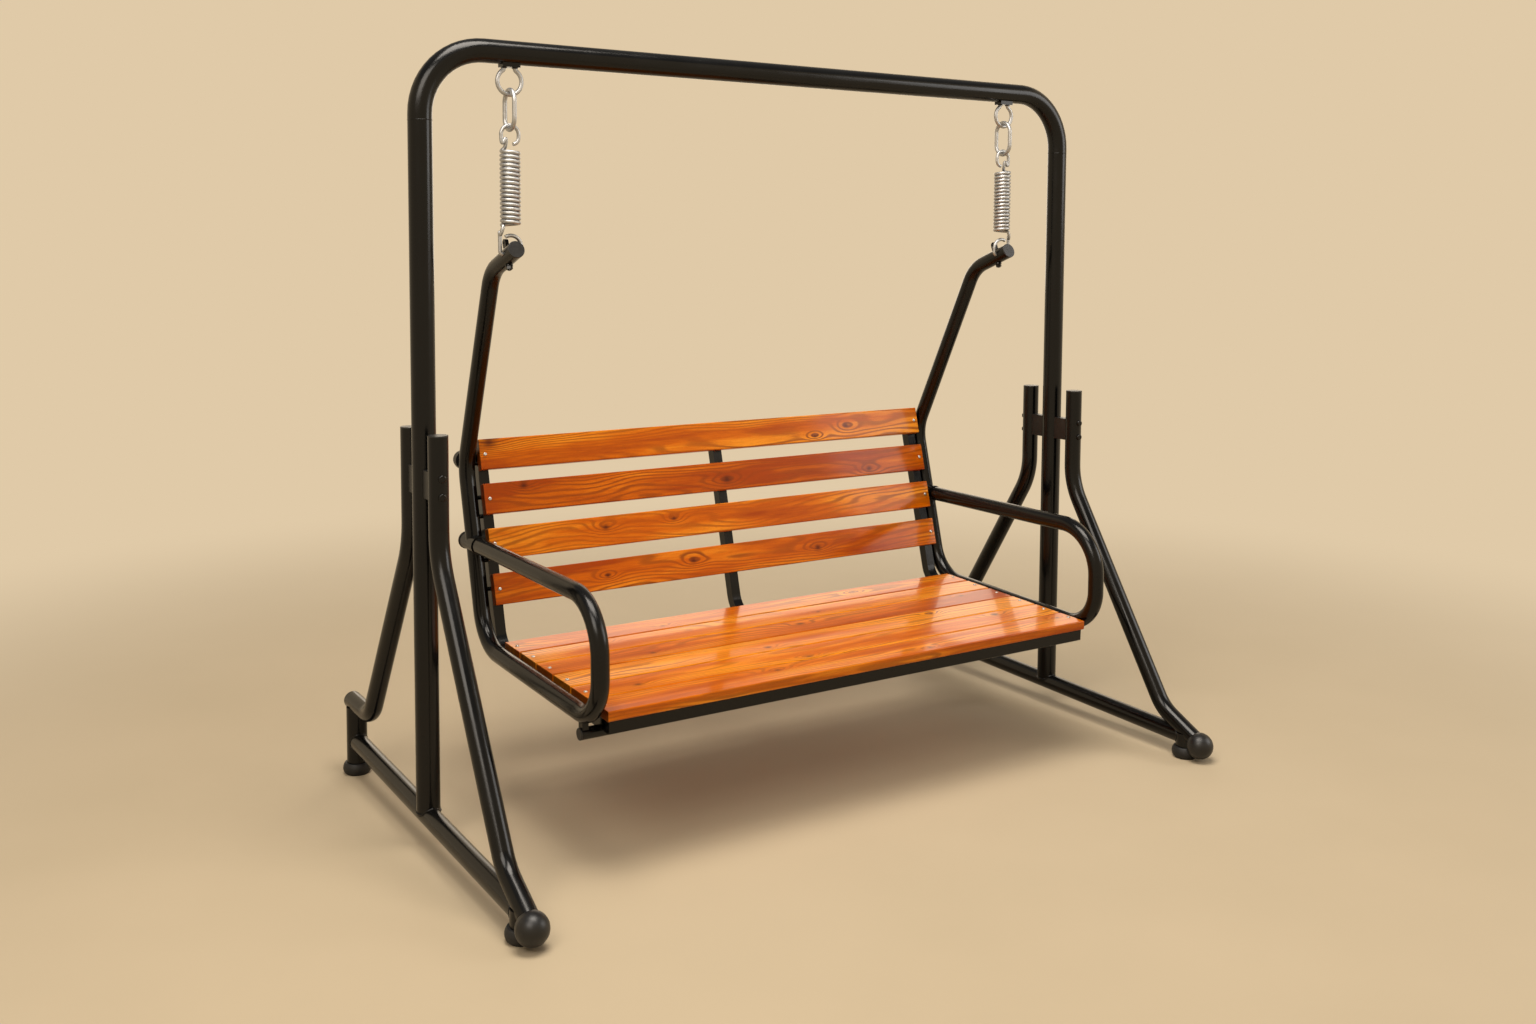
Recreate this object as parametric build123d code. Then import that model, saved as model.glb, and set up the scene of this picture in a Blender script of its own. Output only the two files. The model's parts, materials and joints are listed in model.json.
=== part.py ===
"""Jhoola: a spring-hung slatted bench in a tubular steel stand.

Millimetres, Z up, X along the bench, -Y is the front. Heights are above the floor.
Every Y below is measured from the plane of the two posts; save() moves it to the centre of the depth.
"""
import math
import os

from build123d import *

# ---------------------------------------------------------------- widths
SLAT_LENGTH = 1320.0
SEAT_OD = 38.1
SIDE_GAP = 4.95
HANGER_SPLAY = 18.0
POST_ROOM = 198.0
SIDE_X = SLAT_LENGTH / 2 + SIDE_GAP + SEAT_OD / 2
HANG_X = SIDE_X + HANGER_SPLAY
POST_X = HANG_X + POST_ROOM

# ---------------------------------------------------------------- stand tubes
POST_OD = 50.8
BRACE_OD = 42.4
STUB_OD = 48.3
WALL = 2.0
BEAM_Z = 1690.0
BOW_RADIUS = 140.0
BOW_LEG = 12.0
SPIGOT_LENGTH = 60.0
SPIGOT_GAP = 0.1

# ---------------------------------------------------------------- feet and base
FRONT_STUB_Y = -500.0
REAR_STUB_Y = 500.0
BASE_Z_FRONT = 52.0
BASE_Z_REAR = 80.0
CAP_OD = 66.0
CAP_HEIGHT = 28.0
CAP_FLOOR = 6.0
BALL_R = 33.0
BALL_Y = -545.0
BALL_Z = 40.0

# ---------------------------------------------------------------- braces
BRACE_Y = 84.0
BRACE_TOP_Z = 890.0
BRACE_BEND_Z = 640.0
BRACE_BEND_R = 180.0
FRONT_KNEE = (-424.0, 106.0)
FRONT_END = (-540.0, 47.0)
FRONT_KNEE_R = 110.0
REAR_KNEE_Y = 384.0
REAR_FOOT_Z = 172.0
REAR_END_Y = 529.0
REAR_KNEE_R = 70.0
FRONT_STUB_TOP = 62.0
REAR_STUB_TOP = 164.0
PLUG_THICK = 3.0
PLUG_DEPTH = 12.0
SPACER_WIDTH = 24.0
SPACER_Z = (756.0, 814.0)
TIE_BOLT_Z = (767.0, 805.0)
TIE_BOLT_D = 8.0
TIE_NUT_R = 7.5
TIE_NUT_H = 9.5
TIE_NUT_SINK = 3.0
BOLT_HOLE_GAP = 0.2

# ---------------------------------------------------------------- hanging hardware
PLATE_SIZE = (40.0, 26.0, 6.0)
EYE_ROD = 9.5
EYE_R = 27.5
EYE_LEG_X = 12.5
EYE_NECK_R = 7.0
EYE_DROP = 29.5
LINK_ROD = 10.0
LINK_WIDTH = 62.0
LINK_HEIGHT = 94.0
SPRING_WIRE = 8.4
COIL_OD = 45.0
COIL_TURNS = 17
COIL_PITCH = 9.25
HOOK_RISE = 56.0
LOOP_LEG_X = 24.5
LOOP_CORNER_R = 7.0
LOOP_DROP = 62.25
RUN_GAP = 0.3
LUG_ALONG = 18.0
LUG_BOLT_D = 8.0
LUG_WIDTH = 16.0
LUG_THICK = 8.0
LUG_HEIGHT = 22.0
LUG_EYE_D = 6.4

# ---------------------------------------------------------------- seat side tube
SEAT_WALL = 1.6
HANGER_SLOPE = 20.0
HANGER_TIP = 30.0
HANGER_BEND_Y = 106.0
HANGER_BEND_R = 90.0
BACK_BEND = (322.5, 761.0)
BACK_BEND_R = 110.0
BACK_LEAN = 15.2
SEAT_SLOPE = 1.7
RAIL_Z = 345.0
REAR_BEND_R = 110.0
ARM_FRONT_Y = -388.5
ARM_LOW_R = 90.0
ARM_HIGH_R = 115.0
ARM_Z = 581.0
ARM_END_GAP = 0.5
PIN_HOLE_D = 9.6

# ---------------------------------------------------------------- slats and bars
SLAT_THICK = 22.0
SLAT_EDGE = 3.0
BACK_SLAT_WIDTH = 73.0
BACK_SLAT_GAP = 33.0
BACK_SLATS = 4
BACK_RISE = 54.0
SEAT_SLAT_WIDTH = 85.0
SEAT_SLAT_GAP = 4.0
SEAT_SLATS = 6
SEAT_REAR_Y = 153.5
SLAT_PROUD = 1.0
BAR_SIZE = 25.0
BAR_WALL = 1.6
BAR_CORNER_R = 62.0
APRON_HEIGHT = 28.0
APRON_DEPTH = 25.0
APRON_SETBACK = 6.0
APRON_INSET = 5.0
SCREW_INSET = 13.0
SCREW_HEAD_D = 9.0
SCREW_HEAD_H = 2.6
SCREW_D = 4.5
SCREW_GAP = 0.1
CROSS_OD = 25.4
CROSS_BEHIND = 32.8
CROSS_GAP = 0.05
CROSS_OVERHANG = 8.0
RISER_SIZE = (14.0, 18.0)
STUD_D = 10.0
STUD_Z = (683.0, 640.0, 540.0, 475.0)
STUD_Y = (86.0, -84.0, -224.0)
KNOB_R = 23.0
KNOB_H = 17.0
KNOB_RISE = 10.0
ARM_STUB_LENGTH = 26.0
ARM_LIP = 12.0
ARM_LIP_R = 9.0
CLAMP_SCREW_DROP = 37.0

# ---------------------------------------------------------------- derived
EYE_TOP_Z = BEAM_Z - POST_OD / 2 - PLATE_SIZE[2]
EYE_Z = EYE_TOP_Z - EYE_DROP - EYE_R
LINK_TOP_Z = EYE_Z + EYE_ROD / 2 + LINK_ROD / 2 + RUN_GAP
LINK_BOTTOM_Z = LINK_TOP_Z - (LINK_HEIGHT - LINK_ROD)
HOOK_Z = LINK_BOTTOM_Z + LINK_ROD / 2 + SPRING_WIRE / 2 + RUN_GAP
COIL_TOP_Z = HOOK_Z - HOOK_RISE
COIL_BOTTOM_Z = COIL_TOP_Z - COIL_TURNS * COIL_PITCH
COIL_R = (COIL_OD - SPRING_WIRE) / 2
PIVOT_Z = COIL_BOTTOM_Z - LOOP_DROP
JOINT_Z = BEAM_Z - BOW_RADIUS - BOW_LEG
DEPTH_SHIFT = ((BALL_R - BALL_Y) - (REAR_STUB_Y + CAP_OD / 2)) / 2

LEAN = math.radians(BACK_LEAN)
SLOPE = math.radians(SEAT_SLOPE)
TIP = math.radians(HANGER_SLOPE)
BAR_X = SLAT_LENGTH / 2 - SCREW_INSET
SEAT_DEPTH = SEAT_SLATS * SEAT_SLAT_WIDTH + (SEAT_SLATS - 1) * SEAT_SLAT_GAP
CROSS_AT = SEAT_DEPTH - APRON_SETBACK - APRON_DEPTH - CROSS_BEHIND
CROSS_Y = SEAT_REAR_Y - CROSS_AT * math.cos(SLOPE)


def upright_y(z):
    """Y of the upright's axis at a height."""
    return BACK_BEND[0] - (BACK_BEND[1] - z) * math.tan(LEAN)


def rail_z(y):
    """Height of the seat rail's axis."""
    return RAIL_Z + y * math.tan(SLOPE)


def corner(offset):
    """Where the upright's axis meets a line parallel to the rail, offset below it."""
    a = math.tan(SLOPE)
    b = 1 / math.tan(LEAN)
    drop = offset / math.cos(SLOPE)
    y = (RAIL_Z - drop - BACK_BEND[1] + BACK_BEND[0] * b) / (b - a)
    return (y, RAIL_Z - drop + a * y)


# ---------------------------------------------------------------- helpers
def save(shape, name):
    export_step(Pos(0, DEPTH_SHIFT, 0) * shape, f"parts/{name}.step")


def both(shape):
    """A piece with its twin on the other side of the bench."""
    return [shape, mirror(shape, Plane.YZ)]


def group(shapes):
    return Compound(children=[s for s in shapes])


def bent_wire(points, radii):
    """A wire through points with an arc at every inner corner."""
    points = [Vector(*p) for p in points]
    edges = []
    start = points[0]
    for i, radius in enumerate(radii):
        vertex = points[i + 1]
        into = (vertex - points[i]).normalized()
        out = (points[i + 2] - vertex).normalized()
        turn = math.radians(into.get_angle(out))
        reach = radius * math.tan(turn / 2)
        first = vertex - into * reach
        last = vertex + out * reach
        inward = (out - into).normalized()
        middle = vertex + inward * (radius / math.cos(turn / 2) - radius)
        if (first - start).length > 1e-6:
            edges.append(Line(start, first))
        edges.append(ThreePointArc(first, middle, last))
        start = last
    edges.append(Line(start, points[-1]))
    return Wire(edges)


def rod(wire, diameter):
    """A round bar along a wire."""
    return sweep(Plane(origin=wire @ 0, z_dir=wire % 0) * Circle(diameter / 2), path=wire)


def pipe(wire, outer, wall):
    """A round tube along a wire."""
    return rod(wire, outer) - rod(wire, outer - 2 * wall)


def bar(a, b, diameter):
    """A round bar between two points."""
    a, b = Vector(*a), Vector(*b)
    line = b - a
    disc = Plane(origin=a, z_dir=line) * Circle(diameter / 2)
    return extrude(disc, amount=line.length, dir=line.normalized())


def yz_box(plane, x_half, low, high):
    """A box in a plane whose X runs along the bench: low and high are (y, z) in that plane."""
    size = (2 * x_half, high[0] - low[0], high[1] - low[1])
    at = Pos(0, (low[0] + high[0]) / 2, (low[1] + high[1]) / 2)
    return plane * at * Box(*size)


# ---------------------------------------------------------------- stand
def bow_wire():
    return bent_wire(
        [
            (-POST_X, 0, JOINT_Z),
            (-POST_X, 0, BEAM_Z),
            (POST_X, 0, BEAM_Z),
            (POST_X, 0, JOINT_Z),
        ],
        [BOW_RADIUS, BOW_RADIUS],
    )


def top_bow():
    bow = pipe(bow_wire(), POST_OD, WALL)
    spigot_od = POST_OD - 2 * WALL - 2 * SPIGOT_GAP
    low = JOINT_Z - SPIGOT_LENGTH
    for side in (-1, 1):
        x = side * POST_X
        step = bar((x, 0, JOINT_Z), (x, 0, JOINT_Z + 6), POST_OD)
        spigot = bar((x, 0, low), (x, 0, JOINT_Z + 1), spigot_od)
        bore = bar((x, 0, low - 1), (x, 0, JOINT_Z + 7), spigot_od - 2 * WALL)
        bow = bow + step + spigot - bore
    return bow


def base_axis():
    return ((POST_X, FRONT_STUB_Y, BASE_Z_FRONT), (POST_X, REAR_STUB_Y, BASE_Z_REAR))


def base_height(y):
    share = (y - FRONT_STUB_Y) / (REAR_STUB_Y - FRONT_STUB_Y)
    return BASE_Z_FRONT + share * (BASE_Z_REAR - BASE_Z_FRONT)


def brace_wire(front):
    if front:
        points = [
            (POST_X, -BRACE_Y, BRACE_TOP_Z),
            (POST_X, -BRACE_Y, BRACE_BEND_Z),
            (POST_X, *FRONT_KNEE),
            (POST_X, *FRONT_END),
        ]
        return bent_wire(points, [BRACE_BEND_R, FRONT_KNEE_R])
    points = [
        (POST_X, BRACE_Y, BRACE_TOP_Z),
        (POST_X, BRACE_Y, BRACE_BEND_Z),
        (POST_X, REAR_KNEE_Y, REAR_FOOT_Z),
        (POST_X, REAR_END_Y, REAR_FOOT_Z),
    ]
    return bent_wire(points, [BRACE_BEND_R, REAR_KNEE_R])


def tie_holes():
    reach = BRACE_Y + BRACE_OD
    d = TIE_BOLT_D + 2 * BOLT_HOLE_GAP
    return [bar((POST_X, -reach, z), (POST_X, reach, z), d) for z in TIE_BOLT_Z]


def post():
    shape = bar((POST_X, 0, base_height(0) + 4), (POST_X, 0, JOINT_Z), POST_OD)
    shape -= bar((POST_X, 0, 0), (POST_X, 0, JOINT_Z + 1), POST_OD - 2 * WALL)
    shape -= bar(*base_axis(), BRACE_OD)
    for hole in tie_holes():
        shape -= hole
    return shape


def brace(front):
    shape = pipe(brace_wire(front), BRACE_OD, WALL)
    for hole in tie_holes():
        shape -= hole
    return shape


def base_tube():
    shape = bar(*base_axis(), BRACE_OD) - bar(*base_axis(), BRACE_OD - 2 * WALL)
    for y in (FRONT_STUB_Y, REAR_STUB_Y):
        shape -= bar((POST_X, y, 0), (POST_X, y, REAR_STUB_TOP + STUB_OD), STUB_OD)
    shape -= rod(brace_wire(True), BRACE_OD)
    return max(shape.solids(), key=lambda s: s.volume)


def stub(front):
    y = FRONT_STUB_Y if front else REAR_STUB_Y
    top = FRONT_STUB_TOP if front else REAR_STUB_TOP
    shape = bar((POST_X, y, CAP_FLOOR), (POST_X, y, top), STUB_OD)
    shape -= bar((POST_X, y, CAP_FLOOR - 1), (POST_X, y, top + 1), STUB_OD - 2 * WALL)
    shape -= rod(brace_wire(front), BRACE_OD)
    return min(shape.solids(), key=lambda s: s.center().Z)


def cap_blank(y):
    """The outside of a rubber foot cap: a low bulging cup."""
    r = CAP_OD / 2
    with BuildSketch(Plane.XZ) as outline:
        with BuildLine():
            Polyline((0, 0), (r - 6, 0))
            ThreePointArc((r - 6, 0), (r, 10), (r - 2.5, CAP_HEIGHT - 2))
            Polyline((r - 2.5, CAP_HEIGHT - 2), (r - 4, CAP_HEIGHT), (0, CAP_HEIGHT), (0, 0))
        make_face()
    return Pos(POST_X, y, 0) * revolve(outline.sketch, Axis.Z)


def foot_cap(y):
    bore = bar((POST_X, y, CAP_FLOOR), (POST_X, y, CAP_HEIGHT + 1), STUB_OD)
    return cap_blank(y) - bore


def ball_cap():
    ball = Pos(POST_X, BALL_Y, BALL_Z) * Sphere(BALL_R)
    ball -= cap_blank(FRONT_STUB_Y)
    ball -= bar((POST_X, FRONT_STUB_Y, 0), (POST_X, FRONT_STUB_Y, 2 * FRONT_STUB_TOP), STUB_OD)
    ball -= rod(brace_wire(True), BRACE_OD)
    return max(ball.solids(), key=lambda s: s.volume)


def tube_plug(at, out, outer, wall):
    """A plug with a flat head over the tube end and a spigot inside it."""
    at, out = Vector(*at), Vector(*out).normalized()
    head = bar(at, (at + out * PLUG_THICK), outer)
    head = fillet(head.edges().sort_by(lambda e: (e.center() - at).dot(out))[-1:], 1.2)
    spigot = bar((at - out * PLUG_DEPTH), at, outer - 2 * wall - 0.2)
    return head + spigot


def brace_top_plugs():
    plugs = []
    for y in (-BRACE_Y, BRACE_Y):
        plugs += both(tube_plug((POST_X, y, BRACE_TOP_Z), (0, 0, 1), BRACE_OD, WALL))
    return group(plugs)


def rear_end_plugs():
    return group(both(tube_plug((POST_X, REAR_END_Y, REAR_FOOT_Z), (0, 1, 0), BRACE_OD, WALL)))


def brace_spacers():
    blocks = []
    low, high = SPACER_Z
    for side in (-1, 1):
        block = Pos(POST_X, side * BRACE_Y / 2, (low + high) / 2) * Box(SPACER_WIDTH, BRACE_Y, high - low)
        block -= bar((POST_X, 0, low - 1), (POST_X, 0, high + 1), POST_OD)
        block -= bar((POST_X, side * BRACE_Y, low - 1), (POST_X, side * BRACE_Y, high + 1), BRACE_OD)
        for hole in tie_holes():
            block -= hole
        blocks += both(block)
    return group(blocks)


def tie_bolts():
    bolts = []
    face = BRACE_Y + BRACE_OD / 2
    for z in TIE_BOLT_Z:
        shank = bar((POST_X, -face, z), (POST_X, face + 9, z), TIE_BOLT_D)
        head = bar((POST_X, -face - 4.5, z), (POST_X, -face + 4, z), 16)
        head = fillet(head.edges().sort_by(Axis.Y)[:1], 2.5)
        head -= bar((POST_X, -BRACE_Y, z - 20), (POST_X, -BRACE_Y, z + 20), BRACE_OD)
        head = min(head.solids(), key=lambda s: s.center().Y)
        bolts += both(head + shank)
    return group(bolts)


def tie_nuts():
    nuts = []
    face = BRACE_Y + BRACE_OD / 2
    for z in TIE_BOLT_Z:
        start = Plane(origin=(POST_X, face - TIE_NUT_SINK, z), z_dir=(0, 1, 0))
        nut = extrude(start * RegularPolygon(TIE_NUT_R, 6), amount=TIE_NUT_H, dir=(0, 1, 0))
        nut -= bar((POST_X, BRACE_Y, z - BRACE_OD), (POST_X, BRACE_Y, z + BRACE_OD), BRACE_OD)
        nut -= bar((POST_X, 0, z), (POST_X, face + BRACE_OD, z), TIE_BOLT_D)
        nuts += both(nut)
    return group(nuts)


# ---------------------------------------------------------------- hanging hardware
def eye_plates():
    x, y, thick = PLATE_SIZE
    block = Pos(HANG_X, 0, (EYE_TOP_Z + BEAM_Z) / 2) * Box(x, y, BEAM_Z - EYE_TOP_Z)
    block -= bar((HANG_X - x, 0, BEAM_Z), (HANG_X + x, 0, BEAM_Z), POST_OD)
    return group(both(block))


def hanging_eye():
    centre = EYE_TOP_Z - EYE_DROP
    neck_x = EYE_LEG_X + EYE_NECK_R
    rise = math.sqrt((EYE_R + EYE_NECK_R) ** 2 - neck_x**2)
    share = EYE_R / (EYE_R + EYE_NECK_R)
    touch = (neck_x * share, centre + rise * share)
    angle = math.radians(180) + math.atan2(touch[1] - centre - rise, neck_x - touch[0]) / 2
    middle = (
        neck_x + EYE_NECK_R * math.cos(angle),
        centre + rise - EYE_NECK_R * abs(math.sin(angle)),
    )
    right = [(EYE_LEG_X, EYE_TOP_Z), (EYE_LEG_X, centre + rise), middle, touch]
    point = lambda p, s: (HANG_X + s * p[0], 0, p[1])
    edges = [
        Line(point(right[0], 1), point(right[1], 1)),
        ThreePointArc(point(right[1], 1), point(right[2], 1), point(right[3], 1)),
        ThreePointArc(point(right[3], 1), (HANG_X, 0, EYE_Z), point(right[3], -1)),
        ThreePointArc(point(right[3], -1), point(right[2], -1), point(right[1], -1)),
        Line(point(right[1], -1), point(right[0], -1)),
    ]
    return rod(Wire(edges), EYE_ROD)


def ring_link():
    half = (LINK_WIDTH - LINK_ROD) / 2
    top, bottom = LINK_TOP_Z - half, LINK_BOTTOM_Z + half
    edges = [
        Line((HANG_X, half, bottom), (HANG_X, half, top)),
        ThreePointArc((HANG_X, half, top), (HANG_X, 0, LINK_TOP_Z), (HANG_X, -half, top)),
        Line((HANG_X, -half, top), (HANG_X, -half, bottom)),
        ThreePointArc((HANG_X, -half, bottom), (HANG_X, 0, LINK_BOTTOM_Z), (HANG_X, half, bottom)),
    ]
    return rod(Wire(edges), LINK_ROD)


def spring_coil():
    helix = Pos(HANG_X, 0, COIL_BOTTOM_Z) * Helix(COIL_PITCH, COIL_TURNS * COIL_PITCH, COIL_R)
    profile = Plane(origin=helix @ 0, z_dir=helix % 0) * Circle(SPRING_WIRE / 2)
    return sweep(profile, path=helix, is_frenet=True)


def coil_end(top):
    """The point and direction in which the wire leaves the coil."""
    helix = Pos(HANG_X, 0, COIL_BOTTOM_Z) * Helix(COIL_PITCH, COIL_TURNS * COIL_PITCH, COIL_R)
    if top:
        return helix @ 1, helix % 1
    return helix @ 0, (helix % 0) * -1


def spring_hook():
    start, way = coil_end(True)
    r = 20.0
    z0 = HOOK_Z - r
    lead = Spline(
        [
            start,
            (HANG_X + 13, 8.5, COIL_TOP_Z + 3.5),
            (HANG_X + 8.5, 5.0, COIL_TOP_Z + 12),
            (HANG_X + 11, 0.8, COIL_TOP_Z + 26),
            (HANG_X + r, 0, z0),
        ],
        tangents=[way, (0, 0, 1)],
    )
    over = ThreePointArc((HANG_X + r, 0, z0), (HANG_X, 0, HOOK_Z), (HANG_X - r, 0, z0))
    down = Line((HANG_X - r, 0, z0), (HANG_X - r, 0, z0 - 6))
    curl = ThreePointArc(
        (HANG_X - r, 0, z0 - 6), (HANG_X - r + 4, 0, z0 - 15.5), (HANG_X - r + 13, 0, z0 - 20)
    )
    return rod(Wire([lead, over, down, curl]), SPRING_WIRE)


def spring_loop():
    start, way = coil_end(False)
    x, r = LOOP_LEG_X, LOOP_CORNER_R
    high = PIVOT_Z + 16
    q = math.sqrt(0.5)
    lead = Spline(
        [
            start,
            (HANG_X + 20, -6, COIL_BOTTOM_Z - 5),
            (HANG_X + x, -1.5, COIL_BOTTOM_Z - 20),
            (HANG_X + x, 0, high),
        ],
        tangents=[way, (0, 0, -1)],
    )
    edges = [
        lead,
        Line((HANG_X + x, 0, high), (HANG_X + x, 0, PIVOT_Z + r)),
        ThreePointArc(
            (HANG_X + x, 0, PIVOT_Z + r),
            (HANG_X + x - r + r * q, 0, PIVOT_Z + r - r * q),
            (HANG_X + x - r, 0, PIVOT_Z),
        ),
        Line((HANG_X + x - r, 0, PIVOT_Z), (HANG_X - x + r, 0, PIVOT_Z)),
        ThreePointArc(
            (HANG_X - x + r, 0, PIVOT_Z),
            (HANG_X - x + r - r * q, 0, PIVOT_Z + r - r * q),
            (HANG_X - x, 0, PIVOT_Z + r),
        ),
        Line((HANG_X - x, 0, PIVOT_Z + r), (HANG_X - x, 0, high)),
        ThreePointArc((HANG_X - x, 0, high), (HANG_X - x * q, 0, high + x * q), (HANG_X, 0, high + x)),
        ThreePointArc(
            (HANG_X, 0, high + x), (HANG_X + 6.5, 0, high + x - 0.9), (HANG_X + 12, 0, high + x - 3.1)
        ),
    ]
    return rod(Wire(edges), SPRING_WIRE)


# ---------------------------------------------------------------- seat side tubes
def hanger_point(along, up=0.0):
    """A point near the hanger's top length: along its axis to the rear of the pivot, and square above it."""
    y = along * math.cos(TIP) + up * math.sin(TIP)
    z = PIVOT_Z - along * math.sin(TIP) + up * math.cos(TIP)
    return (HANG_X, y, z)


def side_wire():
    arm_end = upright_y(ARM_Z) - SEAT_OD
    points = [
        hanger_point(-HANGER_TIP),
        (HANG_X, HANGER_BEND_Y, PIVOT_Z - HANGER_BEND_Y * math.tan(TIP)),
        (SIDE_X, *BACK_BEND),
        (SIDE_X, *corner(0)),
        (SIDE_X, ARM_FRONT_Y, rail_z(ARM_FRONT_Y)),
        (SIDE_X, ARM_FRONT_Y, ARM_Z),
        (SIDE_X, arm_end, ARM_Z),
    ]
    radii = [HANGER_BEND_R, BACK_BEND_R, REAR_BEND_R, ARM_LOW_R, ARM_HIGH_R]
    return bent_wire(points, radii)


def upright_bar(extra=0.0):
    """The upright's outside as a plain bar, for cutting what meets it."""
    reach = 3.5 * SEAT_OD
    low, high = ARM_Z - reach, ARM_Z + reach
    return bar((SIDE_X, upright_y(low), low), (SIDE_X, upright_y(high), high), SEAT_OD + 2 * extra)


def arm_stretch(inner):
    """The last length of the arm, up to a saddle cut just short of the upright."""
    end = upright_y(ARM_Z)
    shape = bar((SIDE_X, end - SEAT_OD, ARM_Z), (SIDE_X, end, ARM_Z), inner)
    return shape - upright_bar(ARM_END_GAP)


def side_tube():
    tube = pipe(side_wire(), SEAT_OD, SEAT_WALL)
    tube += arm_stretch(SEAT_OD) - arm_stretch(SEAT_OD - 2 * SEAT_WALL)
    tube -= bar((HANG_X - SEAT_OD, 0, PIVOT_Z), (HANG_X + SEAT_OD, 0, PIVOT_Z), PIN_HOLE_D)
    bolt = LUG_BOLT_D + 2 * BOLT_HOLE_GAP
    tube -= bar(hanger_point(LUG_ALONG, -SEAT_OD), hanger_point(LUG_ALONG, SEAT_OD), bolt)
    return tube


def side_blank():
    return rod(side_wire(), SEAT_OD)


def hanger_axis_bar():
    return bar(hanger_point(-HANGER_TIP), hanger_point(LUG_ALONG + SEAT_OD), SEAT_OD)


def eye_bolts():
    top = SEAT_OD / 2 + LUG_HEIGHT
    frame = Plane(
        origin=hanger_point(LUG_ALONG), x_dir=(0, math.cos(TIP), -math.sin(TIP)), z_dir=(1, 0, 0)
    )
    outline = Rectangle(LUG_WIDTH, top - 8, align=(Align.CENTER, Align.MIN))
    outline += Pos(0, top - 8) * Circle(LUG_WIDTH / 2)
    outline -= Pos(0, top - 8) * Circle(LUG_EYE_D / 2)
    lug = frame * Pos(0, 0, -LUG_THICK / 2) * extrude(outline, amount=LUG_THICK)
    lug -= hanger_axis_bar()
    lug = max(lug.solids(), key=lambda s: s.volume)
    low, high = -SEAT_OD / 2 - 11, SEAT_OD / 2 + 1
    shank = bar(hanger_point(LUG_ALONG, low), hanger_point(LUG_ALONG, high), LUG_BOLT_D)
    return group(both(lug + shank))


def eye_bolt_nuts():
    axis = Vector(*hanger_point(0, -1)) - Vector(*hanger_point(0, 0))
    seat = SEAT_OD / 2
    washer = bar(hanger_point(LUG_ALONG, -seat - 2), hanger_point(LUG_ALONG, -seat + 5), 18)
    section = Plane(origin=hanger_point(LUG_ALONG, -seat - 2), z_dir=axis) * RegularPolygon(7.5, 6)
    nut = extrude(section, amount=7, dir=axis)
    nut = washer + nut - hanger_axis_bar()
    nut -= bar(hanger_point(LUG_ALONG, -seat - 20), hanger_point(LUG_ALONG, 0), LUG_BOLT_D)
    return group(both(nut))


def hanger_caps():
    out = Vector(*hanger_point(-1)) - Vector(*hanger_point(0))
    plug = tube_plug(hanger_point(-HANGER_TIP), out, SEAT_OD, SEAT_WALL)
    return group(both(plug))


def arm_clamps():
    """Collars that join the arm ends to the uprights."""
    end = upright_y(ARM_Z)
    ring = bar((SIDE_X, end - SEAT_OD / 2 - 15, ARM_Z), (SIDE_X, end, ARM_Z), SEAT_OD + 5)
    ring -= bar((SIDE_X, end - SEAT_OD, ARM_Z), (SIDE_X, end, ARM_Z), SEAT_OD)
    ring -= upright_bar()
    ring = min(ring.solids(), key=lambda s: s.center().Y)
    return group(both(ring))


def arm_plugs():
    """Domed stubs behind the uprights, in line with the arms."""
    start = upright_y(ARM_Z)
    face = start + SEAT_OD / 2 + ARM_STUB_LENGTH
    body = bar((SIDE_X, start, ARM_Z), (SIDE_X, face, ARM_Z), SEAT_OD + 1)
    lip = bar((SIDE_X, face, ARM_Z), (SIDE_X, face + ARM_LIP, ARM_Z), SEAT_OD + 4)
    lip = fillet(lip.edges().sort_by(Axis.Y)[-1:], ARM_LIP_R)
    plug = body + lip - upright_bar()
    return group(both(max(plug.solids(), key=lambda s: s.center().Y)))


def clamp_screws():
    z = ARM_Z - CLAMP_SCREW_DROP
    y = upright_y(z)
    head = bar((SIDE_X, y, z), (SIDE_X, y + SEAT_OD / 2 + 6, z), 11)
    head = fillet(head.edges().sort_by(Axis.Y)[-1:], 2)
    head -= upright_bar()
    return group(both(max(head.solids(), key=lambda s: s.center().Y)))


def back_knobs():
    """Round knobs on the rear of the back bends."""
    y, z = BACK_BEND[0], BACK_BEND[1] + KNOB_RISE
    rear = y + SEAT_OD / 2
    washer = bar((SIDE_X, y + 6, z), (SIDE_X, rear, z), 2 * KNOB_R)
    dome = bar((SIDE_X, rear, z), (SIDE_X, rear + KNOB_H, z), 2 * KNOB_R - 4)
    dome = fillet(dome.edges().sort_by(Axis.Y)[-1:], 9)
    knob = washer + dome - side_blank()
    return group(both(max(knob.solids(), key=lambda s: s.center().Y)))


# ---------------------------------------------------------------- seat boards and bars
def back_plane():
    """Origin at the back bend; local Z up the back, local Y to the rear."""
    return Plane(
        origin=(0, *BACK_BEND), x_dir=(1, 0, 0), z_dir=(0, math.sin(LEAN), math.cos(LEAN))
    )


def seat_plane():
    """Origin on the seat boards' top at the rear edge; local Y to the rear, local Z up."""
    top = rail_z(SEAT_REAR_Y) + (SEAT_OD / 2 + SLAT_PROUD) / math.cos(SLOPE)
    return Plane(
        origin=(0, SEAT_REAR_Y, top), x_dir=(1, 0, 0), z_dir=(0, -math.sin(SLOPE), math.cos(SLOPE))
    )


def bar_drop():
    """How far the bars' axis runs below the rail's axis."""
    return SLAT_THICK + BAR_SIZE / 2 - SEAT_OD / 2 - SLAT_PROUD


def back_spans():
    pitch = BACK_SLAT_WIDTH + BACK_SLAT_GAP
    return [(BACK_RISE - i * pitch - BACK_SLAT_WIDTH, BACK_RISE - i * pitch) for i in range(BACK_SLATS)]


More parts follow.
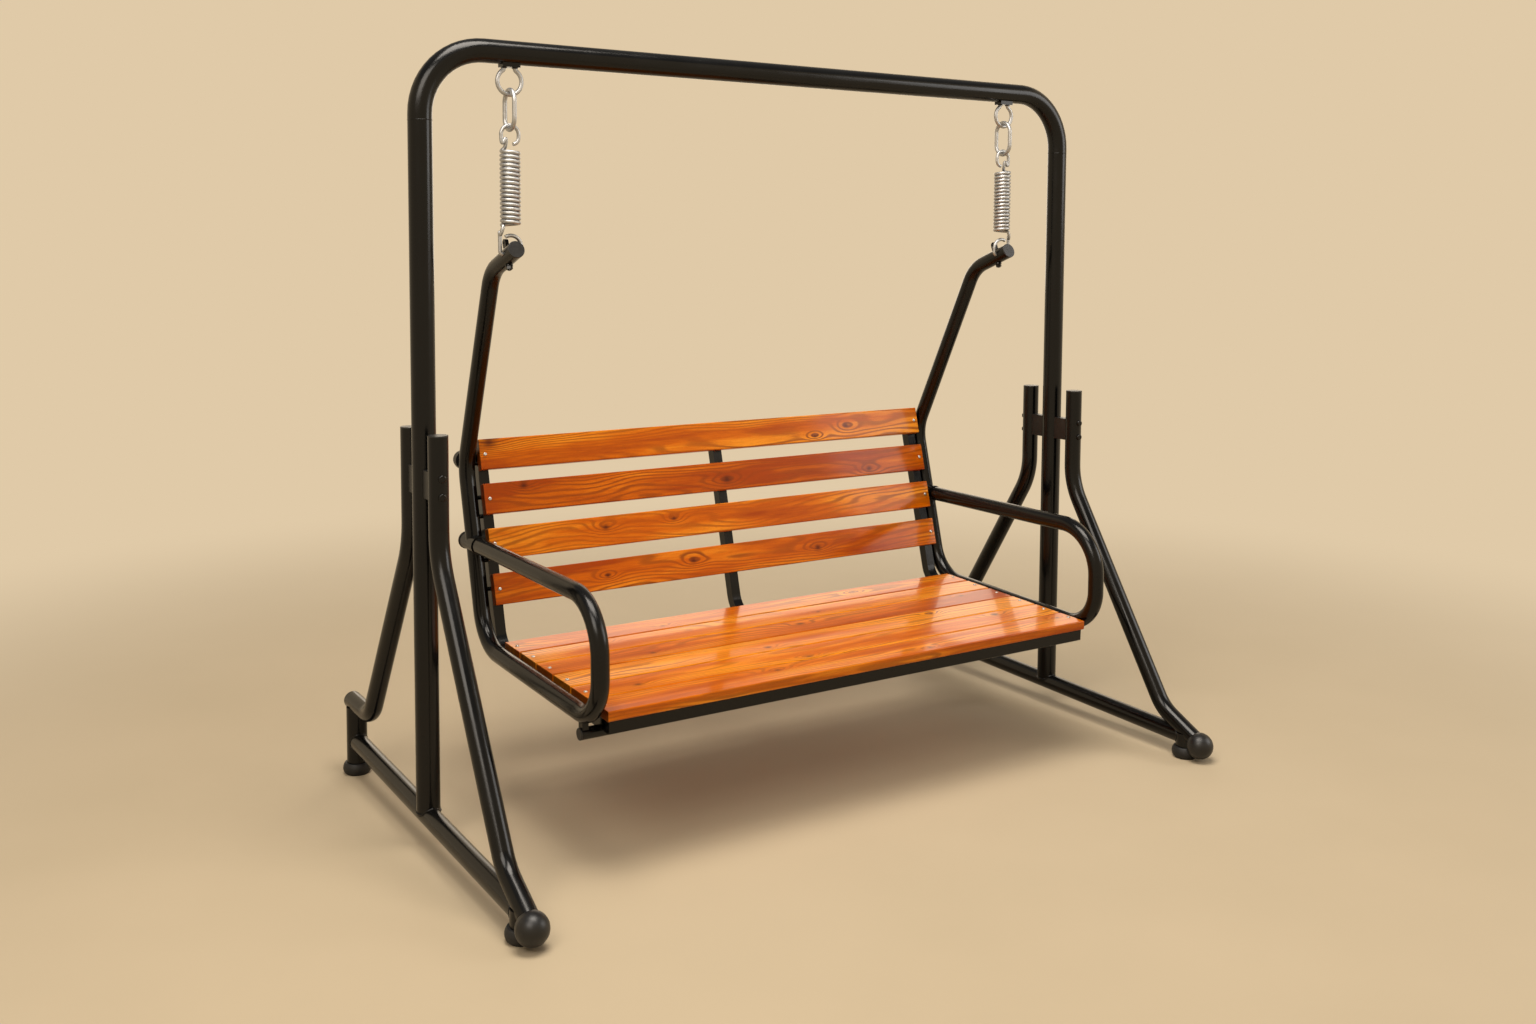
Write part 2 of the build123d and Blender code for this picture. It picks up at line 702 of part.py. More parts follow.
def seat_spans():
    pitch = SEAT_SLAT_WIDTH + SEAT_SLAT_GAP
    return [(-i * pitch - SEAT_SLAT_WIDTH, -i * pitch) for i in range(SEAT_SLATS)]


def slat(plane, low, high):
    board = yz_box(plane, SLAT_LENGTH / 2, low, high)
    return fillet(board.edges().filter_by(Axis.X), SLAT_EDGE)


def back_slat(i):
    low, high = back_spans()[i]
    face = -BAR_SIZE / 2
    board = slat(back_plane(), (face - SLAT_THICK, low), (face, high))
    for hole in back_screw_shanks(i, SCREW_GAP):
        board -= hole
    return board


def seat_slat(i):
    low, high = seat_spans()[i]
    board = slat(seat_plane(), (low, -SLAT_THICK), (high, 0))
    for hole in seat_screw_shanks(i, SCREW_GAP):
        board -= hole
    return board


def screw_line(plane, x, a, b, d):
    a = plane.from_local_coords((x, *a))
    b = plane.from_local_coords((x, *b))
    return bar(a, b, d)


def screw_xs():
    return (-SLAT_LENGTH / 2 + SCREW_INSET, SLAT_LENGTH / 2 - SCREW_INSET)


def back_screw_shanks(i, gap=0.0):
    """Shanks through one back slat: two from the front, one from behind the centre bar."""
    low, high = back_spans()[i]
    mid = (low + high) / 2
    face = -BAR_SIZE / 2
    d = SCREW_D + 2 * gap
    front, back = (face - SLAT_THICK - gap, mid), (face + 6, mid)
    shanks = [screw_line(back_plane(), x, front, back, d) for x in screw_xs()]
    tip = face - SLAT_THICK + 7
    shanks.append(screw_line(back_plane(), 0, (BAR_SIZE / 2 + gap, mid), (tip, mid), d))
    return shanks


def seat_screw_shanks(i, gap=0.0):
    low, high = seat_spans()[i]
    mid = (low + high) / 2
    d = SCREW_D + 2 * gap
    shanks = [screw_line(seat_plane(), x, (mid, gap), (mid, -SLAT_THICK - 6), d) for x in screw_xs()]
    bottom = -SLAT_THICK - BAR_SIZE
    shanks.append(screw_line(seat_plane(), 0, (mid, bottom - gap), (mid, -7), d))
    return shanks


def screw_head(plane, x, at, out):
    """A low domed head at a point of a local plane, facing out along local y or z."""
    tip = (at[0] + out[0] * SCREW_HEAD_H, at[1] + out[1] * SCREW_HEAD_H)
    head = screw_line(plane, x, at, tip, SCREW_HEAD_D)
    centre = plane.from_local_coords((x, *at))
    edge = head.edges().sort_by(lambda e: (e.center() - centre).length)[-1:]
    return fillet(edge, SCREW_HEAD_H * 0.7)


def back_screws():
    screws = []
    for i in range(BACK_SLATS):
        low, high = back_spans()[i]
        at = (-BAR_SIZE / 2 - SLAT_THICK, (low + high) / 2)
        for x, shank in zip(screw_xs(), back_screw_shanks(i)):
            screws.append(screw_head(back_plane(), x, at, (-1, 0)) + shank)
    return group(screws)


def seat_screws():
    screws = []
    for i in range(SEAT_SLATS):
        low, high = seat_spans()[i]
        at = ((low + high) / 2, 0)
        for x, shank in zip(screw_xs(), seat_screw_shanks(i)):
            screws.append(screw_head(seat_plane(), x, at, (0, 1)) + shank)
    return group(screws)


def centre_screws():
    screws = []
    for i in range(BACK_SLATS):
        low, high = back_spans()[i]
        head = screw_head(back_plane(), 0, (BAR_SIZE / 2, (low + high) / 2), (1, 0))
        screws.append(head + back_screw_shanks(i)[2])
    for i in range(SEAT_SLATS):
        low, high = seat_spans()[i]
        at = ((low + high) / 2, -SLAT_THICK - BAR_SIZE)
        screws.append(screw_head(seat_plane(), 0, at, (0, -1)) + seat_screw_shanks(i)[2])
    return group(screws)


def apron_front():
    """Local Y of the apron's front face on the seat plane."""
    return -SEAT_DEPTH + APRON_SETBACK


def support_bar(x):
    """A bent rectangular tube behind the back slats and under the seat slats."""
    top = back_plane().from_local_coords((x, 0, BACK_RISE - 12))
    front = seat_plane().from_local_coords((x, apron_front() + APRON_DEPTH, -SLAT_THICK - BAR_SIZE / 2))
    wire = bent_wire([top, (x, *corner(bar_drop())), front], [BAR_CORNER_R])
    frame = Plane(origin=wire @ 0, x_dir=(1, 0, 0), z_dir=wire % 0)
    outer = sweep(frame * Rectangle(BAR_SIZE, BAR_SIZE), path=wire)
    inner = sweep(frame * Rectangle(BAR_SIZE - 2 * BAR_WALL, BAR_SIZE - 2 * BAR_WALL), path=wire)
    shape = outer - inner
    picks = {-1: 0, 1: 1, 0: 2}
    which = picks[0 if x == 0 else (1 if x > 0 else -1)]
    for i in range(BACK_SLATS):
        shape -= back_screw_shanks(i, SCREW_GAP)[which]
    for i in range(SEAT_SLATS):
        shape -= seat_screw_shanks(i, SCREW_GAP)[which]
    return shape


def apron():
    low = (apron_front(), -SLAT_THICK - APRON_HEIGHT)
    high = (apron_front() + APRON_DEPTH, -SLAT_THICK)
    half = SLAT_LENGTH / 2 - APRON_INSET
    shape = yz_box(seat_plane(), half, low, high)
    shape = fillet(shape.edges().filter_by(Axis.X), 1.5)
    inner = yz_box(
        seat_plane(),
        half - 3,
        (low[0] + BAR_WALL, low[1] + BAR_WALL),
        (high[0] - BAR_WALL, high[1] - BAR_WALL),
    )
    shape -= inner
    for shank in seat_screw_shanks(SEAT_SLATS - 1, SCREW_GAP):
        shape -= shank
    return shape


def cross_z():
    """Height of the cross tube, tight under the support bars."""
    drop = bar_drop() + BAR_SIZE / 2 + CROSS_GAP + CROSS_OD / 2
    return rail_z(CROSS_Y) - drop / math.cos(SLOPE)


def cross_tube():
    end = SIDE_X + CROSS_OVERHANG
    z = cross_z()
    return bar((-end, CROSS_Y, z), (end, CROSS_Y, z), CROSS_OD) - bar(
        (-end - 1, CROSS_Y, z), (end + 1, CROSS_Y, z), CROSS_OD - 2 * SEAT_WALL
    )


def cross_plugs():
    plug = tube_plug((SIDE_X + CROSS_OVERHANG, CROSS_Y, cross_z()), (1, 0, 0), CROSS_OD, SEAT_WALL)
    return group(both(plug))


def cross_risers():
    low, high = cross_z(), rail_z(CROSS_Y)
    block = Pos(SIDE_X, CROSS_Y, (low + high) / 2) * Box(*RISER_SIZE, high - low)
    block -= bar((SIDE_X - SEAT_OD, CROSS_Y, low), (SIDE_X + SEAT_OD, CROSS_Y, low), CROSS_OD)
    block -= side_blank()
    return group(both(block))


def side_studs():
    """Short studs between each side tube and the support bar beside it."""
    studs = []
    face = BAR_X + BAR_SIZE / 2
    blank = side_blank()
    places = [(upright_y(z), z) for z in STUD_Z]
    places += [(y, rail_z(y) - 8) for y in STUD_Y]
    places.append((BACK_BEND[0] - 7, BACK_BEND[1] + 2))
    for y, z in places:
        studs += both(bar((face, y, z), (SIDE_X, y, z), STUD_D) - blank)
    return group(studs)


# ---------------------------------------------------------------- build
def main():
    os.makedirs("parts", exist_ok=True)
    save(top_bow(), "top_bow")
    pairs = {
        "post": post(),
        "base_tube": base_tube(),
        "front_brace": brace(True),
        "rear_brace": brace(False),
        "hanging_eye": hanging_eye(),
        "ring_link": ring_link(),
        "spring_hook": spring_hook(),
        "spring_coil": spring_coil(),
        "spring_loop": spring_loop(),
        "side_tube": side_tube(),
    }
    for name, shape in pairs.items():
        right, left = both(shape)
        save(left, "left_" + name)
        save(right, "right_" + name)
    save(group(both(stub(True))), "front_stubs")
    save(group(both(stub(False))), "rear_stubs")
    save(group(both(foot_cap(FRONT_STUB_Y))), "front_foot_caps")
    save(group(both(foot_cap(REAR_STUB_Y))), "rear_foot_caps")
    save(group(both(ball_cap())), "ball_caps")
    save(brace_top_plugs(), "brace_top_plugs")
    save(rear_end_plugs(), "rear_end_plugs")
    save(brace_spacers(), "brace_spacers")
    save(tie_bolts(), "tie_bolts")
    save(tie_nuts(), "tie_nuts")
    save(eye_plates(), "eye_plates")
    save(eye_bolts(), "eye_bolts")
    save(eye_bolt_nuts(), "eye_bolt_nuts")
    save(hanger_caps(), "hanger_caps")
    save(arm_clamps(), "arm_clamps")
    save(arm_plugs(), "arm_plugs")
    save(clamp_screws(), "clamp_screws")
    save(back_knobs(), "back_knobs")
    for i in range(BACK_SLATS):
        save(back_slat(i), f"back_slat_{i + 1}")
    for i in range(SEAT_SLATS):
        save(seat_slat(i), f"seat_slat_{i + 1}")
    save(back_screws(), "back_screws")
    save(seat_screws(), "seat_screws")
    save(centre_screws(), "centre_screws")
    save(support_bar(-BAR_X), "left_support_bar")
    save(support_bar(0), "centre_support_bar")
    save(support_bar(BAR_X), "right_support_bar")
    save(apron(), "front_apron")
    save(cross_tube(), "cross_tube")
    save(cross_plugs(), "cross_plugs")
    save(cross_risers(), "cross_risers")
    save(side_studs(), "side_studs")


main()
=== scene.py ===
# %% [markdown]
# # A jhoola: a slatted bench hung on springs in a tube stand
# The steel stand, the springs and the seat frame arrive as a fixed model in metres, with X along the bench,
# -Y towards the sitter's knees and Z up. This lesson dresses that model: it gives every surface the finish
# of the real one, and adds the pieces that only matter to the eye, such as the planed boards, screws and
# weld beads.

# %% Load the frame
import bpy
import bmesh
import json
import math
from mathutils import Matrix, Vector


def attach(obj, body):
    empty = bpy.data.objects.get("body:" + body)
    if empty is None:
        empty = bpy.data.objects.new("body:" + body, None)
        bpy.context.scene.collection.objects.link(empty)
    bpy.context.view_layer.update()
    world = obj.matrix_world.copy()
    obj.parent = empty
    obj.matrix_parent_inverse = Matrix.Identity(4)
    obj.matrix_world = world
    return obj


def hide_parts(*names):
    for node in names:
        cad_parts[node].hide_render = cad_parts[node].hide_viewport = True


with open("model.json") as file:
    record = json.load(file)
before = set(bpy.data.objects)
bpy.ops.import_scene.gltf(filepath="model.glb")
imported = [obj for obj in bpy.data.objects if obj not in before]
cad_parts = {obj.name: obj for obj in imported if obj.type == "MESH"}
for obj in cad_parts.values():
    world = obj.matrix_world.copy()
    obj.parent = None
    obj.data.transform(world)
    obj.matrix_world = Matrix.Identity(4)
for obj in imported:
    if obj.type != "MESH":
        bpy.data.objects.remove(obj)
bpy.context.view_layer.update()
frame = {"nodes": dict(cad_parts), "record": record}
nodes = frame["nodes"]

# %% [markdown]
# ## Three small helpers
# Colours are written as the hex value a paint chart would give. A shader works in linear light, so one
# function turns the hex value to linear. Another adds a node with its settings and links, for shaders and
# for geometry. The third starts an empty material.

# %% Helpers for colour and nodes
def hex_colour(text):
    """A hex colour as linear red, green, blue and alpha."""
    parts = [int(text[i : i + 2], 16) / 255 for i in (1, 3, 5)]
    return [v / 12.92 if v <= 0.04045 else ((v + 0.055) / 1.055) ** 2.4 for v in parts] + [1.0]


def add(tree, kind, values=None, **settings):
    """Adds a node. A value that is a socket is linked, and any other value is set."""
    made = tree.nodes.new(kind)
    for name, value in settings.items():
        setattr(made, name, value)
    for key, value in (values or {}).items():
        if isinstance(value, bpy.types.NodeSocket):
            tree.links.new(value, made.inputs[key])
        else:
            made.inputs[key].default_value = value
    return made


def new_finish(name):
    """An empty material with its shader: the material, its tree and the shader node."""
    finish = bpy.data.materials.new(name)
    finish.use_nodes = True
    tree = finish.node_tree
    tree.nodes.clear()
    shader = add(tree, "ShaderNodeBsdfPrincipled")
    add(tree, "ShaderNodeOutputMaterial", {"Surface": shader.outputs["BSDF"]})
    return finish, tree, shader


print("white in linear light", hex_colour("#FFFFFF"))

# %% [markdown]
# ## Black stove enamel
# The tubes are dipped or sprayed with black enamel and baked. The film is smooth but never flat: it pulls
# into a fine orange peel a few millimetres wide, and dust settles on what faces up. The peel is a soft bump,
# and the dust a slightly lighter veil that follows the surface's upward slope. The gloss changes in the same
# broad clouds.

# %% Enamel material
PEEL_WIDTH, DUST_CLOUD = 0.0035, 0.09


def make_enamel(name, colour, dust_colour, gloss):
    finish, tree, shader = new_finish(name)
    place = add(tree, "ShaderNodeTexCoord").outputs["Object"]
    peel = add(tree, "ShaderNodeTexNoise", {"Vector": place, "Scale": 1 / PEEL_WIDTH, "Detail": 2.0})
    cloud = add(tree, "ShaderNodeTexNoise", {"Vector": place, "Scale": 1 / DUST_CLOUD, "Detail": 5.0})
    normal = add(tree, "ShaderNodeNewGeometry").outputs["Normal"]
    up = add(tree, "ShaderNodeSeparateXYZ", {0: normal}).outputs["Z"]
    shelf = add(tree, "ShaderNodeMapRange", {"Value": up, "From Min": 0.5, "From Max": 1.0, "To Max": 0.3})
    veil = add(
        tree,
        "ShaderNodeMath",
        {0: shelf.outputs[0], 1: cloud.outputs[0]},
        operation="MULTIPLY",
        use_clamp=True,
    )
    tint = add(
        tree,
        "ShaderNodeMix",
        {0: veil.outputs[0], 6: hex_colour(colour), 7: hex_colour(dust_colour)},
        data_type="RGBA",
    )
    spread = {"From Min": 0.3, "From Max": 0.7, "To Min": gloss, "To Max": gloss + 0.12}
    rough = add(tree, "ShaderNodeMapRange", {"Value": cloud.outputs[0], **spread})
    bump = add(tree, "ShaderNodeBump", {"Height": peel.outputs[0], "Strength": 0.12, "Distance": 0.0004})
    tree.links.new(tint.outputs[2], shader.inputs["Base Color"])
    tree.links.new(rough.outputs[0], shader.inputs["Roughness"])
    tree.links.new(bump.outputs[0], shader.inputs["Normal"])
    shader.inputs["IOR"].default_value = 1.45
    shader.inputs["Specular IOR Level"].default_value = 0.36
    return finish


enamel = make_enamel("black_stove_enamel", "#050505", "#1C1A18", 0.15)
print("enamel nodes", len(enamel.node_tree.nodes))

# %% [markdown]
# ## Zinc-plated wire
# Links, eyes and springs are bright zinc-plated steel. Plating is a crystalline metal skin: slightly uneven
# in brightness, with a satin sheen and small dull patches where it has been handled. The crystals are drawn
# coarser than real ones, and are still finer than a pixel of the whole view.

# %% Zinc and screw steel
CRYSTAL, DULL_PATCH = 0.0016, 0.018


def make_plating(name, light, dull, rough_low, rough_high):
    finish, tree, shader = new_finish(name)
    place = add(tree, "ShaderNodeTexCoord").outputs["Object"]
    crystal = add(tree, "ShaderNodeTexVoronoi", {"Vector": place, "Scale": 1 / CRYSTAL})
    patch = add(
        tree,
        "ShaderNodeTexNoise",
        {"Vector": place, "Scale": 1 / DULL_PATCH, "Detail": 6.0, "Roughness": 0.65},
    )
    grey = add(tree, "ShaderNodeRGBToBW", {0: crystal.outputs["Color"]})
    share = add(tree, "ShaderNodeMath", {0: grey.outputs[0], 1: patch.outputs[0]}, operation="MULTIPLY")
    tint = add(
        tree,
        "ShaderNodeMix",
        {0: share.outputs[0], 6: hex_colour(light), 7: hex_colour(dull)},
        data_type="RGBA",
    )
    spread = {"From Min": 0.3, "From Max": 0.7, "To Min": rough_low, "To Max": rough_high}
    rough = add(tree, "ShaderNodeMapRange", {"Value": patch.outputs[0], **spread})
    bump = add(tree, "ShaderNodeBump", {"Height": patch.outputs[0], "Strength": 0.15, "Distance": 0.0003})
    tree.links.new(tint.outputs[2], shader.inputs["Base Color"])
    tree.links.new(rough.outputs[0], shader.inputs["Roughness"])
    tree.links.new(bump.outputs[0], shader.inputs["Normal"])
    shader.inputs["Metallic"].default_value = 1.0
    return finish


zinc = make_plating("zinc_plated_wire", "#C4C5C6", "#808184", 0.42, 0.55)
screw_steel = make_plating("plated_screws", "#C8C8C6", "#7B7A78", 0.22, 0.4)
print("plated finishes", zinc.name, screw_steel.name)

# %% [markdown]
# ## Rubber feet and moulded plastic
# Foot caps are soft moulded rubber, matt and a little grey where they scuff. Plugs, knobs and spacer blocks
# are moulded plastic with the fine sparkle of a spark-eroded mould. Both grains are drawn about a millimetre
# wide, coarser than a real mould's, and are still finer than a pixel of the whole view.

# %% Rubber and plastic
SCUFF_WIDTH = 0.02


def make_moulding(name, colour, scuff_colour, rough, grain_mm, depth):
    finish, tree, shader = new_finish(name)
    place = add(tree, "ShaderNodeTexCoord").outputs["Object"]
    grain = add(tree, "ShaderNodeTexNoise", {"Vector": place, "Scale": 1000 / grain_mm, "Detail": 3.0})
    scuff = add(
        tree,
        "ShaderNodeTexNoise",
        {"Vector": place, "Scale": 1 / SCUFF_WIDTH, "Detail": 8.0, "Roughness": 0.7},
    )
    share = add(
        tree,
        "ShaderNodeMapRange",
        {"Value": scuff.outputs[0], "From Min": 0.52, "From Max": 0.8, "To Max": 0.8},
    )
    tint = add(
        tree,
        "ShaderNodeMix",
        {0: share.outputs[0], 6: hex_colour(colour), 7: hex_colour(scuff_colour)},
        data_type="RGBA",
    )
    dull = add(
        tree, "ShaderNodeMapRange", {"Value": scuff.outputs[0], "To Min": rough, "To Max": rough + 0.2}
    )
    bump = add(tree, "ShaderNodeBump", {"Height": grain.outputs[0], "Strength": 0.3, "Distance": depth})
    tree.links.new(tint.outputs[2], shader.inputs["Base Color"])
    tree.links.new(dull.outputs[0], shader.inputs["Roughness"])
    tree.links.new(bump.outputs[0], shader.inputs["Normal"])
    return finish


rubber = make_moulding("moulded_rubber", "#101011", "#2B2A29", 0.5, 1.2, 0.0003)
plastic = make_moulding("moulded_plastic", "#0D0D0E", "#242425", 0.3, 0.9, 0.0001)
print("mouldings", rubber.name, plastic.name)

# %% [markdown]
# ## Varnished teak
# The boards are sawn teak under clear gloss varnish. Growth rings show as dark brown lines about a
# centimetre apart that run with the board and swell into eyes around each knot, and short open pores streak
# between them. The pattern is worked out in the board's own length, width and depth, so faces, edges and
# ends agree, and every board carries its own tone and knots as attributes.

# %% How a knot bends the grain
def knot_pull(tree, along, across, name, reach):
    """How strongly a knot named by an attribute pulls the grain here, from 0 to 1."""
    spot = add(tree, "ShaderNodeAttribute", attribute_name=name)
    part = add(tree, "ShaderNodeSeparateXYZ", {0: spot.outputs["Vector"]})
    far = add(tree, "ShaderNodeMath", {0: along, 1: part.outputs[0]}, operation="SUBTRACT")
    side = add(tree, "ShaderNodeMath", {0: across, 1: part.outputs[1]}, operation="SUBTRACT")
    far = add(tree, "ShaderNodeMath", {0: far.outputs[0], 1: reach}, operation="DIVIDE")
    spread = add(
        tree,
        "ShaderNodeVectorMath",
        {0: add(tree, "ShaderNodeCombineXYZ", {0: far.outputs[0], 1: side.outputs[0]}).outputs[0]},
        operation="LENGTH",
    )
    ratio = add(tree, "ShaderNodeMath", {0: spread.outputs["Value"], 1: part.outputs[2]}, operation="DIVIDE")
    square = add(tree, "ShaderNodeMath", {0: ratio.outputs[0], 1: ratio.outputs[0]}, operation="MULTIPLY")
    minus = add(tree, "ShaderNodeMath", {0: square.outputs[0], 1: -1.0}, operation="MULTIPLY")
    return add(tree, "ShaderNodeMath", {0: minus.outputs[0]}, operation="EXPONENT").outputs[0]


# %% [markdown]
# Four noises share the work: a slow one bends the rings, a broad one makes light and dark stretches, a fine
# one is the fibre, and short dashes are the pores. Each is stretched along the board, because wood grows
# that way. The three numbers of each are repeats per metre along, across and through the board. The fibre is
# coarser than real fibre. It and the pores are finer than a pixel of the whole view.

# %% Noises of the teak
BEND_REPEATS = (1.6, 11.0, 11.0)
PATCH_REPEATS = (2.0, 20.0, 20.0)
FIBRE_REPEATS = (22.0, 1300.0, 1300.0)
PORE_REPEATS = (90.0, 2600.0, 2600.0)
BOARD_STEP = (1.73, 0.61, 0.37)  # from one board's stretch of the noises to the next

teak, tree, shader = new_finish("varnished_teak")
grain = add(tree, "ShaderNodeAttribute", attribute_name="grain").outputs["Vector"]
board = add(tree, "ShaderNodeAttribute", attribute_name="board").outputs["Fac"]
tone = add(tree, "ShaderNodeAttribute", attribute_name="tone").outputs["Fac"]
axes = add(tree, "ShaderNodeSeparateXYZ", {0: grain})
step = add(tree, "ShaderNodeCombineXYZ", dict(enumerate(BOARD_STEP)))
shift = add(tree, "ShaderNodeVectorMath", {0: step.outputs[0], "Scale": board}, operation="SCALE")
own = add(tree, "ShaderNodeVectorMath", {0: grain, 1: shift.outputs[0]}, operation="ADD").outputs[0]

slow = add(tree, "ShaderNodeMapping", {"Vector": own, "Scale": BEND_REPEATS})
waver = add(tree, "ShaderNodeTexNoise", {"Vector": slow.outputs[0], "Scale": 1.0, "Detail": 2.0})
thin = add(tree, "ShaderNodeMapping", {"Vector": own, "Scale": FIBRE_REPEATS})
fibre = add(
    tree,
    "ShaderNodeTexNoise",
    {"Vector": thin.outputs[0], "Scale": 1.0, "Detail": 3.0, "Roughness": 0.6},
)
wide = add(tree, "ShaderNodeMapping", {"Vector": own, "Scale": PATCH_REPEATS})
blotch = add(
    tree,
    "ShaderNodeTexNoise",
    {"Vector": wide.outputs[0], "Scale": 1.0, "Detail": 4.0, "Roughness": 0.55},
)
dash = add(tree, "ShaderNodeMapping", {"Vector": own, "Scale": PORE_REPEATS})
pores = add(tree, "ShaderNodeTexNoise", {"Vector": dash.outputs[0], "Scale": 1.0, "Detail": 1.0})

print("noises of the teak", len([n for n in tree.nodes if n.type == "TEX_NOISE"]))

# %% [markdown]
# A count of rings grows across the board and, more slowly, through it, and one line is drawn for every ring
# counted. The slow noise bends the lines, and each knot adds rings of its own, which close into an eye. The
# dark heart of a knot is a smaller and rounder patch inside that eye.

# %% Rings and knots
RING_SPACING, RING_LEAN = 0.011, 0.6
BEND_RINGS, KNOT_RINGS, FIBRE_RINGS = 13.0, 2.3, 0.35
KNOT_LENGTH, CORE_LENGTH, KNOT_INK = 2.4, 1.35, 0.35
along, across = axes.outputs[0], axes.outputs[1]
pulls = [knot_pull(tree, along, across, f"knot_{k}", KNOT_LENGTH) for k in "abc"]
cores = [knot_pull(tree, along, across, f"core_{k}", CORE_LENGTH) for k in "abc"]
pull = add(tree, "ShaderNodeMath", {0: pulls[0], 1: pulls[1]}, operation="ADD").outputs[0]
pull = add(tree, "ShaderNodeMath", {0: pull, 1: pulls[2]}, operation="ADD").outputs[0]
core = add(tree, "ShaderNodeMath", {0: cores[0], 1: cores[1]}, operation="MAXIMUM").outputs[0]
core = add(tree, "ShaderNodeMath", {0: core, 1: cores[2]}, operation="MAXIMUM").outputs[0]

lean = add(tree, "ShaderNodeMath", {0: axes.outputs[2], 1: RING_LEAN, 2: across}, operation="MULTIPLY_ADD")
ring = add(tree, "ShaderNodeMath", {0: lean.outputs[0], 1: RING_SPACING}, operation="DIVIDE")
ring = add(
    tree,
    "ShaderNodeMath",
    {0: waver.outputs[0], 1: BEND_RINGS, 2: ring.outputs[0]},
    operation="MULTIPLY_ADD",
)
ring = add(tree, "ShaderNodeMath", {0: pull, 1: KNOT_RINGS, 2: ring.outputs[0]}, operation="MULTIPLY_ADD")
rub = add(
    tree,
    "ShaderNodeMath",
    {0: fibre.outputs[0], 1: FIBRE_RINGS, 2: ring.outputs[0]},
    operation="MULTIPLY_ADD",
)
turn = add(tree, "ShaderNodeMath", {0: rub.outputs[0], 1: 2 * math.pi}, operation="MULTIPLY")
wave = add(tree, "ShaderNodeMath", {0: turn.outputs[0]}, operation="SINE")
lines = add(
    tree,
    "ShaderNodeMapRange",
    {"Value": wave.outputs[0], "From Min": -0.3, "From Max": 1.0},
    interpolation_type="SMOOTHSTEP",
)
bold = add(
    tree,
    "ShaderNodeMapRange",
    {"Value": blotch.outputs[0], "From Min": 0.35, "From Max": 0.65, "To Min": 0.06, "To Max": 0.8},
)
near = add(tree, "ShaderNodeMath", {0: pull, 1: KNOT_INK, 2: bold.outputs[0]}, operation="MULTIPLY_ADD")
inked = add(
    tree,
    "ShaderNodeMath",
    {0: lines.outputs[0], 1: near.outputs[0]},
    operation="MULTIPLY",
    use_clamp=True,
)
print("knots on a board, at most", len(pulls))

# %% [markdown]
# The colour is laid up as a stain would be: a ramp from brown to gold for the body of the wood, then the
# ring lines, the pores, the dark hearts of the knots, and the end grain, which drinks more varnish and goes
# dark.

# %% Colour and gloss of the teak
PATCH_TONE, FIBRE_TONE, HEART_SHARE = 1.5, 0.35, 0.85
body_tone = add(
    tree, "ShaderNodeMath", {0: blotch.outputs[0], 1: PATCH_TONE, 2: tone}, operation="MULTIPLY_ADD"
)
body_tone = add(
    tree,
    "ShaderNodeMath",
    {0: fibre.outputs[0], 1: FIBRE_TONE, 2: body_tone.outputs[0]},
    operation="MULTIPLY_ADD",
)
ramp = add(tree, "ShaderNodeValToRGB", {0: body_tone.outputs[0]})
ramp.color_ramp.elements[0].position = 0.45
ramp.color_ramp.elements[0].color = hex_colour("#9A3D00")
ramp.color_ramp.elements[1].position = 0.95
ramp.color_ramp.elements[1].color = hex_colour("#E28C1C")
middle = ramp.color_ramp.elements.new(0.7)
middle.color = hex_colour("#C46100")

pored = add(
    tree,
    "ShaderNodeMapRange",
    {"Value": pores.outputs[0], "From Min": 0.62, "From Max": 0.75, "To Max": 0.45},
)
knotted = add(tree, "ShaderNodeMath", {0: core, 1: HEART_SHARE}, operation="MULTIPLY")
normal = add(tree, "ShaderNodeNewGeometry").outputs["Normal"]
facing_x = add(tree, "ShaderNodeSeparateXYZ", {0: normal}).outputs[0]
endways = add(tree, "ShaderNodeMath", {0: facing_x}, operation="ABSOLUTE").outputs[0]
endways = add(
    tree, "ShaderNodeMapRange", {"Value": endways, "From Min": 0.5, "From Max": 0.9, "To Max": 0.7}
)
laid = ramp.outputs[0]
layers = ((inked, "#7A3606"), (pored, "#4A1C04"), (knotted, "#451705"), (endways, "#431A05"))
for share, colour in layers:
    values = {0: share.outputs[0], 6: laid, 7: hex_colour(colour)}
    laid = add(tree, "ShaderNodeMix", values, data_type="RGBA").outputs[2]
tree.links.new(laid, shader.inputs["Base Color"])
satin = add(tree, "ShaderNodeMapRange", {"Value": fibre.outputs[0], "To Min": 0.26, "To Max": 0.38})
tree.links.new(satin.outputs[0], shader.inputs["Roughness"])
raise_grain = add(
    tree, "ShaderNodeBump", {"Height": fibre.outputs[0], "Strength": 0.08, "Distance": 0.0003}
)
tree.links.new(raise_grain.outputs[0], shader.inputs["Normal"])
shader.inputs["IOR"].default_value = 1.45
shader.inputs["Specular IOR Level"].default_value = 0.1
shader.inputs["Coat Weight"].default_value = 0.3
shader.inputs["Coat Roughness"].default_value = 0.09
shader.inputs["Coat IOR"].default_value = 1.5
print("teak nodes", len(tree.nodes))

# %% [markdown]
# ## Dress the steel
# The solids of the frame have the right shapes already. They keep them and take their finish by material
# slot, apart from the boards and their screws, which are made anew below.

# %% Assign finishes to the solids
finish_of = {
    "black_paint": enamel,
    "dark_steel": enamel,
    "zinc_steel": zinc,
    "bright_steel": screw_steel,
    "foot_rubber": rubber,
    "black_plastic": plastic,
    "teak": teak,
}
slot_of = {s["node"]: s["material_slot"] for s in frame["record"]["subparts"]}
for name, solid in nodes.items():
    solid.data.materials.clear()
    solid.data.materials.append(finish_of[slot_of[name]])
print("dressed", len(nodes), "solids")

